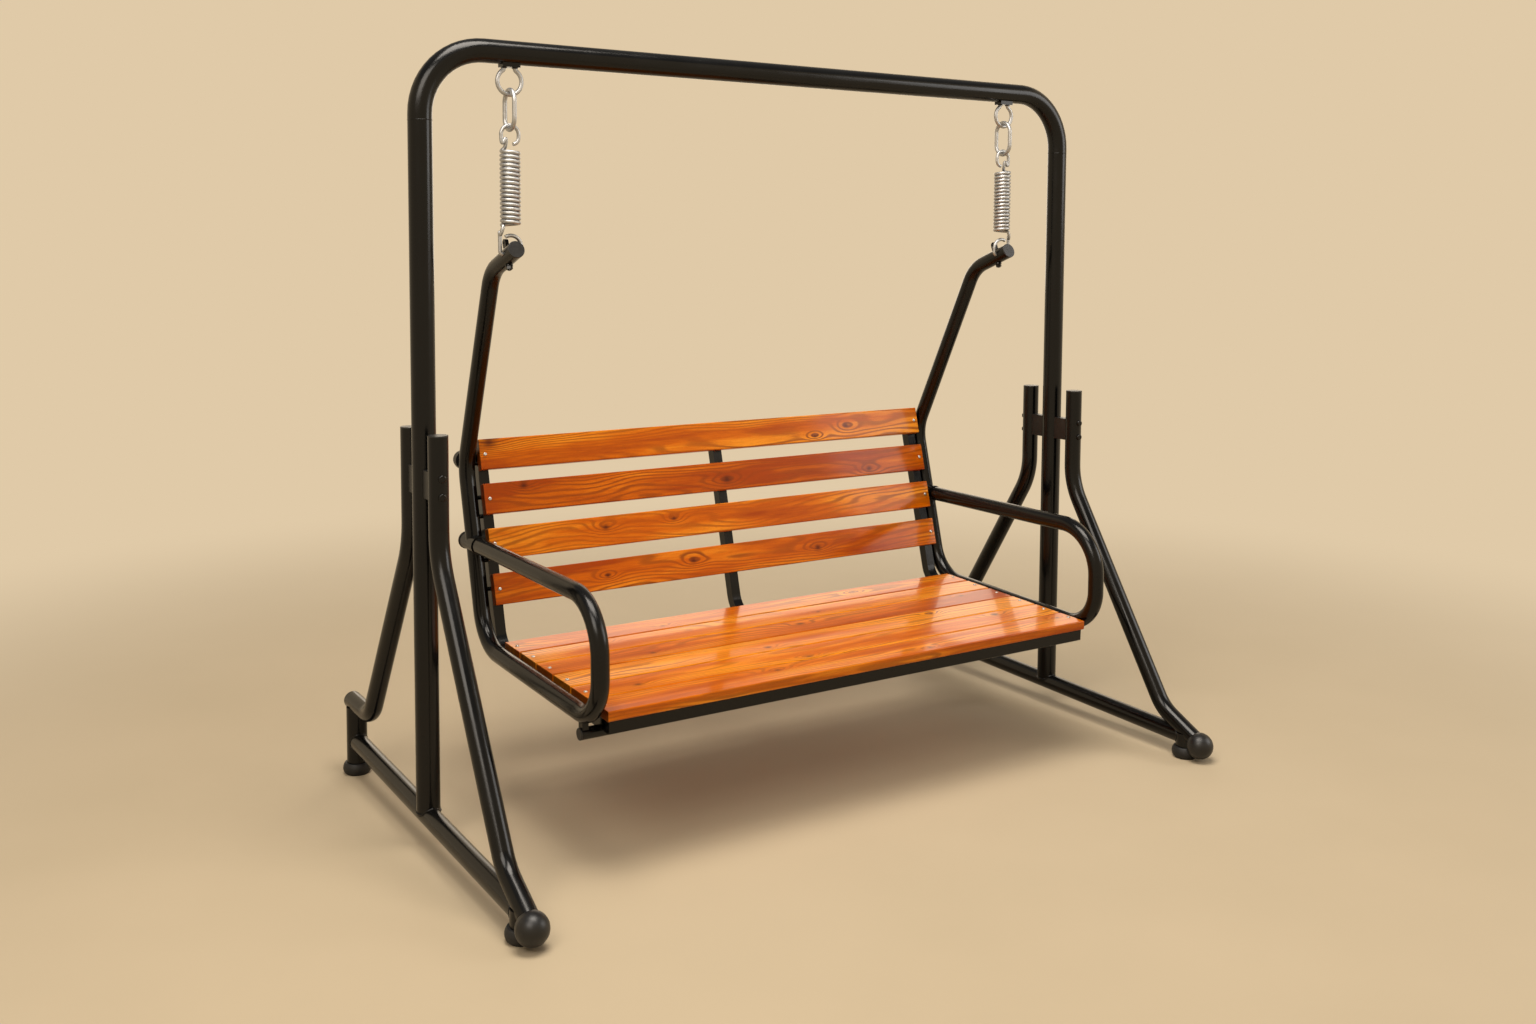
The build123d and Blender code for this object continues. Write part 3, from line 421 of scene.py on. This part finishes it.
# %% [markdown]
# ## Boards
# Ten boards of two widths lie in two rows: four across the back and six on the seat. A row is one rule, so a
# small node tree makes it: a rounded rectangle is swept along the board's length, and copied down the row.
# The tree also notes where each point sits in its own board, which is what the teak pattern reads.

# %% Node tree for a row of boards
def new_geometry_tree(name, inputs):
    """A geometry tree with named inputs: the tree, its group input's sockets and its output node."""
    tree = bpy.data.node_groups.new(name, "GeometryNodeTree")
    for label, kind, value in inputs:
        made = tree.interface.new_socket(name=label, in_out="INPUT", socket_type=kind)
        if value is not None:
            made.default_value = value
    tree.interface.new_socket(name="Geometry", in_out="OUTPUT", socket_type="NodeSocketGeometry")
    given = tree.nodes.new("NodeGroupInput")
    return tree, given.outputs, tree.nodes.new("NodeGroupOutput")


board_tree, given, out = new_geometry_tree(
    "board_row",
    [
        ("Geometry", "NodeSocketGeometry", None),
        ("Length", "NodeSocketFloat", 1.32),
        ("Width", "NodeSocketFloat", 0.085),
        ("Thickness", "NodeSocketFloat", 0.022),
        ("Eased edge", "NodeSocketFloat", 0.003),
        ("Pitch", "NodeSocketFloat", 0.089),
        ("Count", "NodeSocketInt", 6),
        ("Finish", "NodeSocketMaterial", None),
    ],
)
half = add(board_tree, "ShaderNodeMath", {0: given["Length"], 1: 0.5}, operation="MULTIPLY").outputs[0]
minus_half = add(board_tree, "ShaderNodeMath", {0: half, 1: -1.0}, operation="MULTIPLY").outputs[0]
start = add(board_tree, "ShaderNodeCombineXYZ", {0: minus_half}).outputs[0]
end = add(board_tree, "ShaderNodeCombineXYZ", {0: half}).outputs[0]
spine = add(board_tree, "GeometryNodeCurvePrimitiveLine", {"Start": start, "End": end})
outline = add(
    board_tree,
    "GeometryNodeCurvePrimitiveQuadrilateral",
    {"Width": given["Width"], "Height": given["Thickness"]},
)
eased = add(
    board_tree,
    "GeometryNodeFilletCurve",
    {"Curve": outline.outputs[0], "Radius": given["Eased edge"], "Count": 4},
    mode="POLY",
)
swept = add(
    board_tree,
    "GeometryNodeCurveToMesh",
    {0: spine.outputs[0], 1: eased.outputs[0], "Fill Caps": True},
)
position = add(board_tree, "GeometryNodeInputPosition").outputs[0]
noted = add(
    board_tree,
    "GeometryNodeStoreNamedAttribute",
    {"Geometry": swept.outputs[0], "Name": "grain", "Value": position},
    data_type="FLOAT_VECTOR",
    domain="POINT",
)
drop = add(board_tree, "ShaderNodeMath", {0: given["Pitch"], 1: -1.0}, operation="MULTIPLY").outputs[0]
offset = add(board_tree, "ShaderNodeCombineXYZ", {1: drop}).outputs[0]
row = add(board_tree, "GeometryNodeMeshLine", {"Count": given["Count"], "Offset": offset})
copies = add(
    board_tree,
    "GeometryNodeInstanceOnPoints",
    {"Points": row.outputs[0], "Instance": noted.outputs[0]},
)
index = add(board_tree, "GeometryNodeInputIndex").outputs[0]
numbered = add(
    board_tree,
    "GeometryNodeStoreNamedAttribute",
    {"Geometry": copies.outputs[0], "Name": "board", "Value": index},
    data_type="FLOAT",
    domain="INSTANCE",
)
real = add(board_tree, "GeometryNodeRealizeInstances", {0: numbered.outputs[0]})
done = add(board_tree, "GeometryNodeSetMaterial", {"Geometry": real.outputs[0], "Material": given["Finish"]})
board_tree.links.new(done.outputs[0], out.inputs[0])
print("board tree nodes", len(board_tree.nodes))

# %% [markdown]
# The result of a tree is turned into a plain mesh. A narrow bevel eases the sawn ends, and weighted normals
# keep the broad faces flat to the light while the eased edges stay round.

# %% Turn a tree into a plain piece
def grow(name, tree, settings, source=None, bevel=0.0, weighted=False):
    """Runs a geometry tree and gives back its result as an object with a plain mesh."""
    holder = bpy.data.objects.new(name + ".tree", source or bpy.data.meshes.new(name + ".seed"))
    bpy.context.scene.collection.objects.link(holder)
    modifier = holder.modifiers.new("tree", "NODES")
    modifier.node_group = tree
    for item in tree.interface.items_tree:
        if item.item_type == "SOCKET" and item.in_out == "INPUT" and item.name in settings:
            modifier[item.identifier] = settings[item.name]
    if bevel:
        edge = holder.modifiers.new("ends", "BEVEL")
        edge.width, edge.segments, edge.limit_method, edge.angle_limit = bevel, 2, "ANGLE", math.radians(50)
    if weighted:
        holder.modifiers.new("normals", "WEIGHTED_NORMAL").keep_sharp = True
    evaluated = holder.evaluated_get(bpy.context.evaluated_depsgraph_get())
    mesh = bpy.data.meshes.new_from_object(evaluated)
    mesh.name = name
    bpy.data.objects.remove(holder)
    piece = bpy.data.objects.new(name, mesh)
    bpy.context.scene.collection.objects.link(piece)
    return piece


# %% [markdown]
# Where the rows lie: the back boards are screwed to the front of the bent bars, which lean back, and the
# seat boards lie on top of the same bars, which fall a little towards the front. The tone and knots of each
# board are chosen: first the tone, then knots as distance along, distance across and size, in metres.

# %% Two rows of boards
X_AXIS = Vector((1, 0, 0))
MIDDLE_Y = 0.0225  # the stand's middle plane, in which the seat hangs
BACK_LEAN, SEAT_SLOPE = math.radians(15.2), math.radians(1.7)
BACK_BEND = Vector((0, 0.3225 + MIDDLE_Y, 0.761))
BAR_THICK, TOP_RISE, SEAT_REAR, RAIL_Z, BAR_TOP = 0.025, 0.054, 0.1535, 0.345, 0.02005
up_back = Vector((0, math.sin(BACK_LEAN), math.cos(BACK_LEAN)))
out_back = Vector((0, -math.cos(BACK_LEAN), math.sin(BACK_LEAN)))
back_seat = Vector((0, math.cos(SEAT_SLOPE), math.sin(SEAT_SLOPE)))
up_seat = Vector((0, -math.sin(SEAT_SLOPE), math.cos(SEAT_SLOPE)))
BOARD_LENGTH, BOARD_THICK = 1.32, 0.022
BACK_WIDTH, BACK_PITCH, SEAT_WIDTH, SEAT_PITCH = 0.073, 0.106, 0.085, 0.089
seat_rise = SEAT_REAR * math.tan(SEAT_SLOPE) + BAR_TOP / math.cos(SEAT_SLOPE)
seat_top = Vector((0, SEAT_REAR + MIDDLE_Y, RAIL_Z + seat_rise))
back_first = BACK_BEND + out_back * ((BAR_THICK + BOARD_THICK) / 2) + up_back * (TOP_RISE - BACK_WIDTH / 2)
seat_first = seat_top - back_seat * (SEAT_WIDTH / 2) - up_seat * (BOARD_THICK / 2)


def placed_by(axes, origin):
    """The matrix that puts a mesh's own X, Y and Z along three axes, from an origin."""
    return Matrix([(*row, place) for row, place in zip(zip(*axes), origin)] + [(0, 0, 0, 1)])


back_frame = placed_by((X_AXIS, up_back, out_back), back_first)
seat_frame = placed_by((X_AXIS, back_seat, up_seat), seat_first)
print("rows lean by, in degrees", round(math.degrees(BACK_LEAN), 1), round(math.degrees(SEAT_SLOPE), 1))

# %% Tone and knots of each board
TONE_LEVEL, CORE_SHARE, END_BEVEL, FIRST_SEAT_PATTERN = -0.22, 0.42, 0.0012, 7
NO_KNOT = (0.9, 0.0, 0.01)  # past the board's end, where it shows nothing
BACK_BOARDS = [
    (0.02, (-0.635, 0.028, 0.03), (0.408, 0.001, 0.016), (0.30, -0.02, 0.012)),
    (-0.20, (-0.559, 0.024, 0.017), (0.005, -0.009, 0.022), (0.465, -0.018, 0.018)),
    (0.04, (-0.357, 0.009, 0.017), (-0.165, 0.012, 0.013), (0.62, -0.05, 0.02)),
    (-0.08, (-0.367, -0.002, 0.012), (-0.124, 0.007, 0.016), (0.258, -0.002, 0.018)),
]
SEAT_BOARDS = [
    (0.03, (0.31, 0.01, 0.014), (-0.28, -0.02, 0.012), NO_KNOT),
    (0.17, (-0.462, 0.02, 0.014), (0.12, -0.012, 0.012), NO_KNOT),
    (-0.07, (0.02, 0.012, 0.02), (-0.40, -0.015, 0.014), (0.54, 0.02, 0.012)),
    (0.19, (-0.15, -0.02, 0.013), (0.36, 0.016, 0.012), NO_KNOT),
    (0.13, (-0.53, -0.012, 0.017), (-0.104, -0.03, 0.014), (0.50, 0.02, 0.018)),
    (0.05, (-0.22, 0.012, 0.015), (0.18, -0.024, 0.013), (0.62, 0.012, 0.012)),
]


def lay_boards(name, place, width, pitch, boards, first_pattern):
    """One row of boards as a plain mesh, with the tone and knots of each board as attributes."""
    sizes = {
        "Length": BOARD_LENGTH,
        "Width": width,
        "Thickness": BOARD_THICK,
        "Pitch": pitch,
        "Count": len(boards),
        "Finish": teak,
    }
    piece = grow(name, board_tree, sizes, bevel=END_BEVEL, weighted=True)
    mesh = piece.data
    numbers = [round(v.value) for v in mesh.attributes["board"].data]
    tones = mesh.attributes.new("tone", "FLOAT", "POINT")
    tones.data.foreach_set("value", [boards[n][0] + TONE_LEVEL for n in numbers])
    for k, letter in enumerate("abc"):
        for label, size in (("knot_", 1.0), ("core_", CORE_SHARE)):
            spots = mesh.attributes.new(label + letter, "FLOAT_VECTOR", "POINT")
            flat = [v for n in numbers for v in (*boards[n][k + 1][:2], boards[n][k + 1][2] * size)]
            spots.data.foreach_set("vector", flat)
    mesh.attributes["board"].data.foreach_set("value", [float(n + first_pattern) for n in numbers])
    mesh.transform(place)
    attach(piece, "seat")
    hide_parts(*[f"{name[:4]}_slat_{i + 1}" for i in range(len(boards))])
    print(name, "faces", len(mesh.polygons))


lay_boards("back_boards", back_frame, BACK_WIDTH, BACK_PITCH, BACK_BOARDS, 0)
lay_boards("seat_boards", seat_frame, SEAT_WIDTH, SEAT_PITCH, SEAT_BOARDS, FIRST_SEAT_PATTERN)

# %% [markdown]
# ## Screws
# Each board is held by a pan-head screw near each end, and by a third that comes through the middle bar from
# the other side. A screw head is a low dome with a cross recess. One head is modelled, and a tree sets a
# copy on every screw point, turned to face outward and spun by a random but repeatable angle, as screws end
# up in real joinery.

# %% One screw head
def screw_head():
    """A low dome with a cross recess, closed underneath, with its axis along Z."""
    head = bmesh.new()
    radius, rise, around = 0.0045, 0.0024, 24
    recess_reach, recess_half, recess_deep, centre_deep, skirt = 0.0028, 0.00045, 0.0011, 0.0013, -0.0006
    rings = [0.0006, 0.0012, 0.0018, 0.0024, 0.0031, 0.0038, 0.0043, radius]
    loops = []
    for r in rings:
        loop = []
        for k in range(around):
            angle = 2 * math.pi * k / around
            x, y = r * math.cos(angle), r * math.sin(angle)
            z = rise * math.sqrt(max(0.0, 1 - (r / radius) ** 2.6))
            arm = min(abs(x), abs(y))
            if r < recess_reach and arm < recess_half:
                z -= recess_deep
            loop.append(head.verts.new((x, y, z)))
        loops.append(loop)
    loops.append([head.verts.new((v.co.x, v.co.y, skirt)) for v in loops[-1]])
    top = head.verts.new((0, 0, rise - centre_deep))
    bottom = head.verts.new((0, 0, skirt))
    for k in range(around):
        n = (k + 1) % around
        head.faces.new((top, loops[0][k], loops[0][n]))
        head.faces.new((bottom, loops[-1][n], loops[-1][k]))
        for inner, outer in zip(loops, loops[1:]):
            head.faces.new((inner[k], outer[k], outer[n], inner[n]))
    mesh = bpy.data.meshes.new("screw_head")
    head.to_mesh(mesh)
    head.free()
    mesh.shade_smooth()
    return mesh


head_object = bpy.data.objects.new("screw_head.source", screw_head())
bpy.context.scene.collection.objects.link(head_object)
print("screw head faces", len(head_object.data.polygons))

# %% Node tree that sets screws
screw_tree, given, out = new_geometry_tree(
    "set_screws",
    [
        ("Geometry", "NodeSocketGeometry", None),
        ("Head", "NodeSocketObject", None),
        ("Seed", "NodeSocketInt", 4),
        ("Finish", "NodeSocketMaterial", None),
    ],
)
facing = add(screw_tree, "GeometryNodeInputNamedAttribute", {"Name": "outward"}, data_type="FLOAT_VECTOR")
aim = add(screw_tree, "FunctionNodeAlignRotationToVector", {"Vector": facing.outputs[0]}, axis="Z")
spin = add(
    screw_tree,
    "FunctionNodeRandomValue",
    {2: 0.0, 3: 2 * math.pi, "Seed": given["Seed"]},
    data_type="FLOAT",
)
twist = add(screw_tree, "FunctionNodeAxisAngleToRotation", {"Axis": (0, 0, 1), "Angle": spin.outputs[1]})
turned = add(
    screw_tree,
    "FunctionNodeRotateRotation",
    {0: aim.outputs[0], 1: twist.outputs[0]},
    rotation_space="LOCAL",
)
source = add(screw_tree, "GeometryNodeObjectInfo", {0: given["Head"]})
points = add(screw_tree, "GeometryNodeMeshToPoints", {0: given["Geometry"]})
placed = add(
    screw_tree,
    "GeometryNodeInstanceOnPoints",
    {"Points": points.outputs[0], "Instance": source.outputs["Geometry"], "Rotation": turned.outputs[0]},
)
real = add(screw_tree, "GeometryNodeRealizeInstances", {0: placed.outputs[0]})
done = add(screw_tree, "GeometryNodeSetMaterial", {"Geometry": real.outputs[0], "Material": given["Finish"]})
screw_tree.links.new(done.outputs[0], out.inputs[0])


def point_mesh(name, spots):
    """A mesh of loose points, each with the direction that it faces."""
    mesh = bpy.data.meshes.new(name)
    mesh.from_pydata([s[0] for s in spots], [], [])
    facing = mesh.attributes.new("outward", "FLOAT_VECTOR", "POINT")
    facing.data.foreach_set("vector", [v for s in spots for v in s[1]])
    return mesh


# %% Screws in both rows
SCREW_X = 0.647
rows = (
    (back_first, up_back, out_back, BACK_PITCH, BACK_BOARDS),
    (seat_first, back_seat, up_seat, SEAT_PITCH, SEAT_BOARDS),
)
spots = []
for first, along_row, outward, pitch, boards in rows:
    for i in range(len(boards)):
        middle = first - along_row * (i * pitch)
        for side in (-1, 1):
            spots.append((middle + X_AXIS * side * SCREW_X + outward * BOARD_THICK / 2, outward))
        spots.append((middle - outward * (BOARD_THICK / 2 + BAR_THICK), -outward))
screws = grow(
    "board_screws",
    screw_tree,
    {"Head": head_object, "Finish": screw_steel},
    source=point_mesh("screw_points", spots),
)
bpy.data.objects.remove(head_object)
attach(screws, "seat")
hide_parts("back_screws", "seat_screws", "centre_screws")
print("screws", len(spots), "faces", len(screws.data.polygons))

# %% [markdown]
# ## Weld beads
# The stand is welded before it is painted, and a weld leaves a low rippled bead around each joint. A bead is
# a thin tube swept along the line where two pieces meet, with its thickness rising and falling every few
# millimetres. The lines are worked out from the two tubes' sizes.

# %% Node tree for a bead
bead_tree, given, out = new_geometry_tree(
    "weld_bead",
    [
        ("Geometry", "NodeSocketGeometry", None),
        ("Bead", "NodeSocketFloat", 0.0024),
        ("Ripple", "NodeSocketFloat", 0.0045),
        ("Finish", "NodeSocketMaterial", None),
    ],
)
path = add(bead_tree, "GeometryNodeMeshToCurve", {0: given["Geometry"]})
even = add(
    bead_tree, "GeometryNodeResampleCurve", {"Curve": path.outputs[0], "Length": 0.0016}, mode="LENGTH"
)
along = add(bead_tree, "GeometryNodeSplineParameter").outputs["Length"]
beat = add(bead_tree, "ShaderNodeMath", {0: along, 1: given["Ripple"]}, operation="DIVIDE").outputs[0]
beat = add(bead_tree, "ShaderNodeMath", {0: beat, 1: 2 * math.pi}, operation="MULTIPLY").outputs[0]
swell = add(bead_tree, "ShaderNodeMath", {0: beat}, operation="SINE").outputs[0]
swell = add(bead_tree, "ShaderNodeMath", {0: swell, 1: 0.14, 2: 1.0}, operation="MULTIPLY_ADD").outputs[0]
thick = add(bead_tree, "ShaderNodeMath", {0: swell, 1: given["Bead"]}, operation="MULTIPLY").outputs[0]
section = add(bead_tree, "GeometryNodeCurvePrimitiveCircle", {"Resolution": 8, "Radius": 1.0})
swept = add(
    bead_tree,
    "GeometryNodeCurveToMesh",
    {0: even.outputs[0], 1: section.outputs[0], "Scale": thick, "Fill Caps": True},
)
smooth = add(bead_tree, "GeometryNodeSetShadeSmooth", {0: swept.outputs[0]})
done = add(
    bead_tree, "GeometryNodeSetMaterial", {"Geometry": smooth.outputs[0], "Material": given["Finish"]}
)
bead_tree.links.new(done.outputs[0], out.inputs[0])
print("bead tree nodes", len(bead_tree.nodes))

# %% Weld lines of the stand
POST_X, POST_R, BASE_R, STUB_R = 0.9, 0.0254, 0.0212, 0.02415
BASE_FRONT_Z, BASE_SLOPE, HALF_BASE, BASE_EDGE = 0.052, 0.028, 0.5, 0.009
STUB_RISE = 0.0007  # the base tube's rise from a stub's centre to its side
POST_POINTS, RING_POINTS = 72, 60


def base_height(y):
    """Height of the base tube's axis, which rises a little from its front end to its rear end."""
    return BASE_FRONT_Z + (y - MIDDLE_Y + HALF_BASE) * BASE_SLOPE


def around(count, rule):
    """The points that a rule gives for evenly spaced angles."""
    return [rule(2 * math.pi * k / count) for k in range(count)]


def post_on_base(x):
    """The line where a post stands on a base tube, held up where the post is the wider of the two."""

    def spot(angle):
        dx, dy = POST_R * math.cos(angle), POST_R * math.sin(angle)
        lift = math.sqrt(max(BASE_R**2 - dx * dx, BASE_EDGE**2))
        return (x + dx, MIDDLE_Y + dy, base_height(MIDDLE_Y + dy) + lift)

    return around(POST_POINTS, spot)


def base_on_stub(x, y, side):
    """The line where a base tube meets the side of a foot stub."""

    def spot(angle):
        dx, dz = BASE_R * math.cos(angle), BASE_R * math.sin(angle)
        return (x + dx, y + side * math.sqrt(STUB_R**2 - dx * dx), base_height(y) + side * STUB_RISE + dz)

    return around(RING_POINTS, spot)


def ring_round(centre, normal, radius):
    """A circle of points round an axis."""
    normal = Vector(normal).normalized()
    side = normal.orthogonal().normalized()
    other = normal.cross(side)
    return around(
        RING_POINTS, lambda a: Vector(centre) + radius * (side * math.cos(a) + other * math.sin(a))
    )


def path_mesh(name, loops):
    """A mesh of closed edge loops."""
    points, edges = [], []
    for loop in loops:
        first = len(points)
        points += [tuple(p) for p in loop]
        edges += [(first + k, first + (k + 1) % len(loop)) for k in range(len(loop))]
    mesh = bpy.data.meshes.new(name)
    mesh.from_pydata(points, edges, [])
    return mesh


loops = []
for x in (-POST_X, POST_X):
    loops.append(post_on_base(x))
    loops.append(base_on_stub(x, MIDDLE_Y + HALF_BASE, -1))
    loops.append(base_on_stub(x, MIDDLE_Y - HALF_BASE, 1))
stand_welds = grow(
    "stand_welds",
    bead_tree,
    {"Bead": 0.0022, "Finish": enamel},
    source=path_mesh("weld_lines", loops),
)
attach(stand_welds, "stand")
print("stand welds", len(loops), "faces", len(stand_welds.data.polygons))

# %% [markdown]
# Where the top bow's reduced ends push into the posts, the paint bridges the joint and leaves a fine raised
# line. Each hanging eye's two legs are welded to a plate under the beam.

# %% Joint lines and eye welds
POST_TOP_Z, SEAM_SUNK = 1.538, 0.0002
HANG_X, EYE_LEG_X, PLATE_UNDER_Z, EYE_ROD_R = 0.702, 0.0125, 1.6582, 0.0048
UPRIGHT = (0, 0, 1)
seams = [ring_round((x, MIDDLE_Y, POST_TOP_Z), UPRIGHT, POST_R - SEAM_SUNK) for x in (-POST_X, POST_X)]
joint_lines = grow(
    "joint_lines",
    bead_tree,
    {"Bead": 0.0009, "Ripple": 0.02, "Finish": enamel},
    source=path_mesh("seams", seams),
)
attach(joint_lines, "stand")
eye_feet = []
for x in (-HANG_X, HANG_X):
    for leg in (-EYE_LEG_X, EYE_LEG_X):
        eye_feet.append(ring_round((x + leg, MIDDLE_Y, PLATE_UNDER_Z), UPRIGHT, EYE_ROD_R))
eye_welds = grow(
    "eye_welds",
    bead_tree,
    {"Bead": 0.0016, "Finish": enamel},
    source=path_mesh("eye_lines", eye_feet),
)
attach(eye_welds, "stand")
print("joint lines", len(seams), "eye welds", len(eye_feet))

# %% [markdown]
# ## Studio
# The bench stands on a plain pale floor that turns up into a pale wall all round, so it can be seen from any
# side. One large soft light from the upper left gives the long highlights on the tubes, one overhead lights
# the seat, one from behind glances off the varnish, and a weaker one from the right opens the shadows. Far
# from the bench the camera, reflections and clear pieces see the sweep at one even pale tone, which adds no
# light to matt surfaces.

# %% Floor and wall in one sweep
FLOOR_RADIUS, SWEEP_RADIUS, WALL_TOP, SIDES = 6.5, 2.5, 8.0, 96
WALL_RADIUS = FLOOR_RADIUS + SWEEP_RADIUS


def studio_bowl():
    """A round floor that bends up into a round wall."""
    bowl = bmesh.new()
    profile = [(2.0, 0.0), (4.0, 0.0), (FLOOR_RADIUS, 0.0)]
    for k in range(1, 13):
        bend = math.pi * k / 24
        profile.append((FLOOR_RADIUS + SWEEP_RADIUS * math.sin(bend), SWEEP_RADIUS * (1 - math.cos(bend))))
    profile += [(WALL_RADIUS, 5.0), (WALL_RADIUS, WALL_TOP)]
    turns = [2 * math.pi * k / SIDES for k in range(SIDES)]
    rings = [[bowl.verts.new((r * math.cos(a), r * math.sin(a), z)) for a in turns] for r, z in profile]
    centre = bowl.verts.new((0, 0, 0))
    for k in range(SIDES):
        n = (k + 1) % SIDES
        bowl.faces.new((centre, rings[0][k], rings[0][n]))
        for inner, outer in zip(rings, rings[1:]):
            bowl.faces.new((inner[k], outer[k], outer[n], inner[n]))
    mesh = bpy.data.meshes.new("studio_floor")
    bowl.to_mesh(mesh)
    bowl.free()
    mesh.shade_smooth()
    return mesh


floor = bpy.data.objects.new("studio_floor", studio_bowl())
bpy.context.scene.collection.objects.link(floor)
print("wall radius in m", WALL_RADIUS)

# %% Plaster of the floor and wall
TROWEL_WIDTH, TONE_FROM, TONE_FULL = 0.6, 1.3, 3.9
floor_finish, tree, shader = new_finish("pale_plaster_floor")
place = add(tree, "ShaderNodeTexCoord").outputs["Object"]
trowel = add(tree, "ShaderNodeTexNoise", {"Vector": place, "Scale": 1 / TROWEL_WIDTH, "Detail": 6.0})
plaster = add(
    tree,
    "ShaderNodeMix",
    {0: trowel.outputs[0], 6: hex_colour("#B2A286"), 7: hex_colour("#BDAC90")},
    data_type="RGBA",
)
tree.links.new(plaster.outputs[2], shader.inputs["Base Color"])
shader.inputs["Roughness"].default_value = 0.75
ray = add(tree, "ShaderNodeLightPath").outputs
seen = add(tree, "ShaderNodeMath", {0: ray["Is Camera Ray"], 1: ray["Is Glossy Ray"]}, operation="MAXIMUM")
seen = add(tree, "ShaderNodeMath", {0: seen.outputs[0], 1: ray["Is Transmission Ray"]}, operation="MAXIMUM")
away = add(tree, "ShaderNodeVectorMath", {0: place}, operation="LENGTH").outputs["Value"]
far = add(
    tree,
    "ShaderNodeMapRange",
    {"Value": away, "From Min": TONE_FROM, "From Max": TONE_FULL},
    interpolation_type="SMOOTHSTEP",
)
share = add(tree, "ShaderNodeMath", {0: far.outputs[0], 1: seen.outputs[0]}, operation="MULTIPLY")
pale = add(tree, "ShaderNodeEmission", {"Color": hex_colour("#E0CAA8")})
both = add(tree, "ShaderNodeMixShader", {0: share.outputs[0], 1: shader.outputs[0], 2: pale.outputs[0]})
surface = next(n for n in tree.nodes if n.type == "OUTPUT_MATERIAL")
tree.links.new(both.outputs[0], surface.inputs["Surface"])
floor.data.materials.append(floor_finish)
print("even tone from, in m", TONE_FULL)

# %% Lights and world
def soft_light(name, place, target, width, height, power, colour="#FFFFFF"):
    """A rectangular lamp that faces a target."""
    lamp = bpy.data.lights.new(name, "AREA")
    lamp.shape, lamp.size, lamp.size_y, lamp.energy = "RECTANGLE", width, height, power
    lamp.color = hex_colour(colour)[:3]
    made = bpy.data.objects.new(name, lamp)
    made.location = place
    made.rotation_euler = (Vector(target) - Vector(place)).to_track_quat("-Z", "Y").to_euler()
    made.visible_camera = False
    bpy.context.scene.collection.objects.link(made)


soft_light("key", (-3.4, -2.6, 3.9), (0, 0, 0.8), 2.6, 2.2, 112, "#FFF6EA")
soft_light("top", (-0.6, -0.9, 4.6), (0, 0, 0.4), 2.6, 2.0, 200, "#FFF6EA")
soft_light("back", (2.7, 4.2, 1.9), (0, 0, 0.4), 5.0, 1.8, 48, "#FFF3E2")
soft_light("fill", (4.2, -3.0, 2.6), (0, 0, 0.8), 2.4, 2.4, 70)
print("lamps", len(bpy.data.lights))
world = bpy.data.worlds.new("studio")
world.use_nodes = True
world.node_tree.nodes["Background"].inputs["Color"].default_value = hex_colour("#F4EFE8")
world.node_tree.nodes["Background"].inputs["Strength"].default_value = 0.3
bpy.context.scene.world = world
bpy.context.scene.view_settings.view_transform = "Standard"

# %% [markdown]
# ## Camera
# The eye stands in front of the bench and to its left, above the seat, about three and a half metres away.
# It looks a few degrees down and the lens is shifted as well, so the posts lean only a little in the
# view.

# %% Camera
FRAME_WIDTH, FRAME_HEIGHT = 1536, 1024
FOCAL_PIXELS, AXIS_ROW, SENSOR_WIDTH = 1437.5, 351.75, 36
yaw, pitch, roll = 0.57568, 0.07536, 0.00556
forward = Vector((math.sin(yaw) * math.cos(pitch), math.cos(yaw) * math.cos(pitch), -math.sin(pitch)))
level = Vector((math.cos(yaw), -math.sin(yaw), 0))
above = level.cross(forward)
right = level * math.cos(roll) + above * math.sin(roll)
top = above * math.cos(roll) - level * math.sin(roll)
eye = Vector((-1.9239, -2.90111 + MIDDLE_Y, 1.28869))
lens = bpy.data.cameras.new("camera")
lens.sensor_width = SENSOR_WIDTH
lens.lens = FOCAL_PIXELS / FRAME_WIDTH * SENSOR_WIDTH
lens.shift_y = -(FRAME_HEIGHT / 2 - AXIS_ROW) / FRAME_WIDTH
camera = bpy.data.objects.new("camera", lens)
camera.matrix_world = placed_by((right, top, -forward), eye)
bpy.context.scene.collection.objects.link(camera)
bpy.context.scene.camera = camera
print("focal length in mm", round(lens.lens, 2))
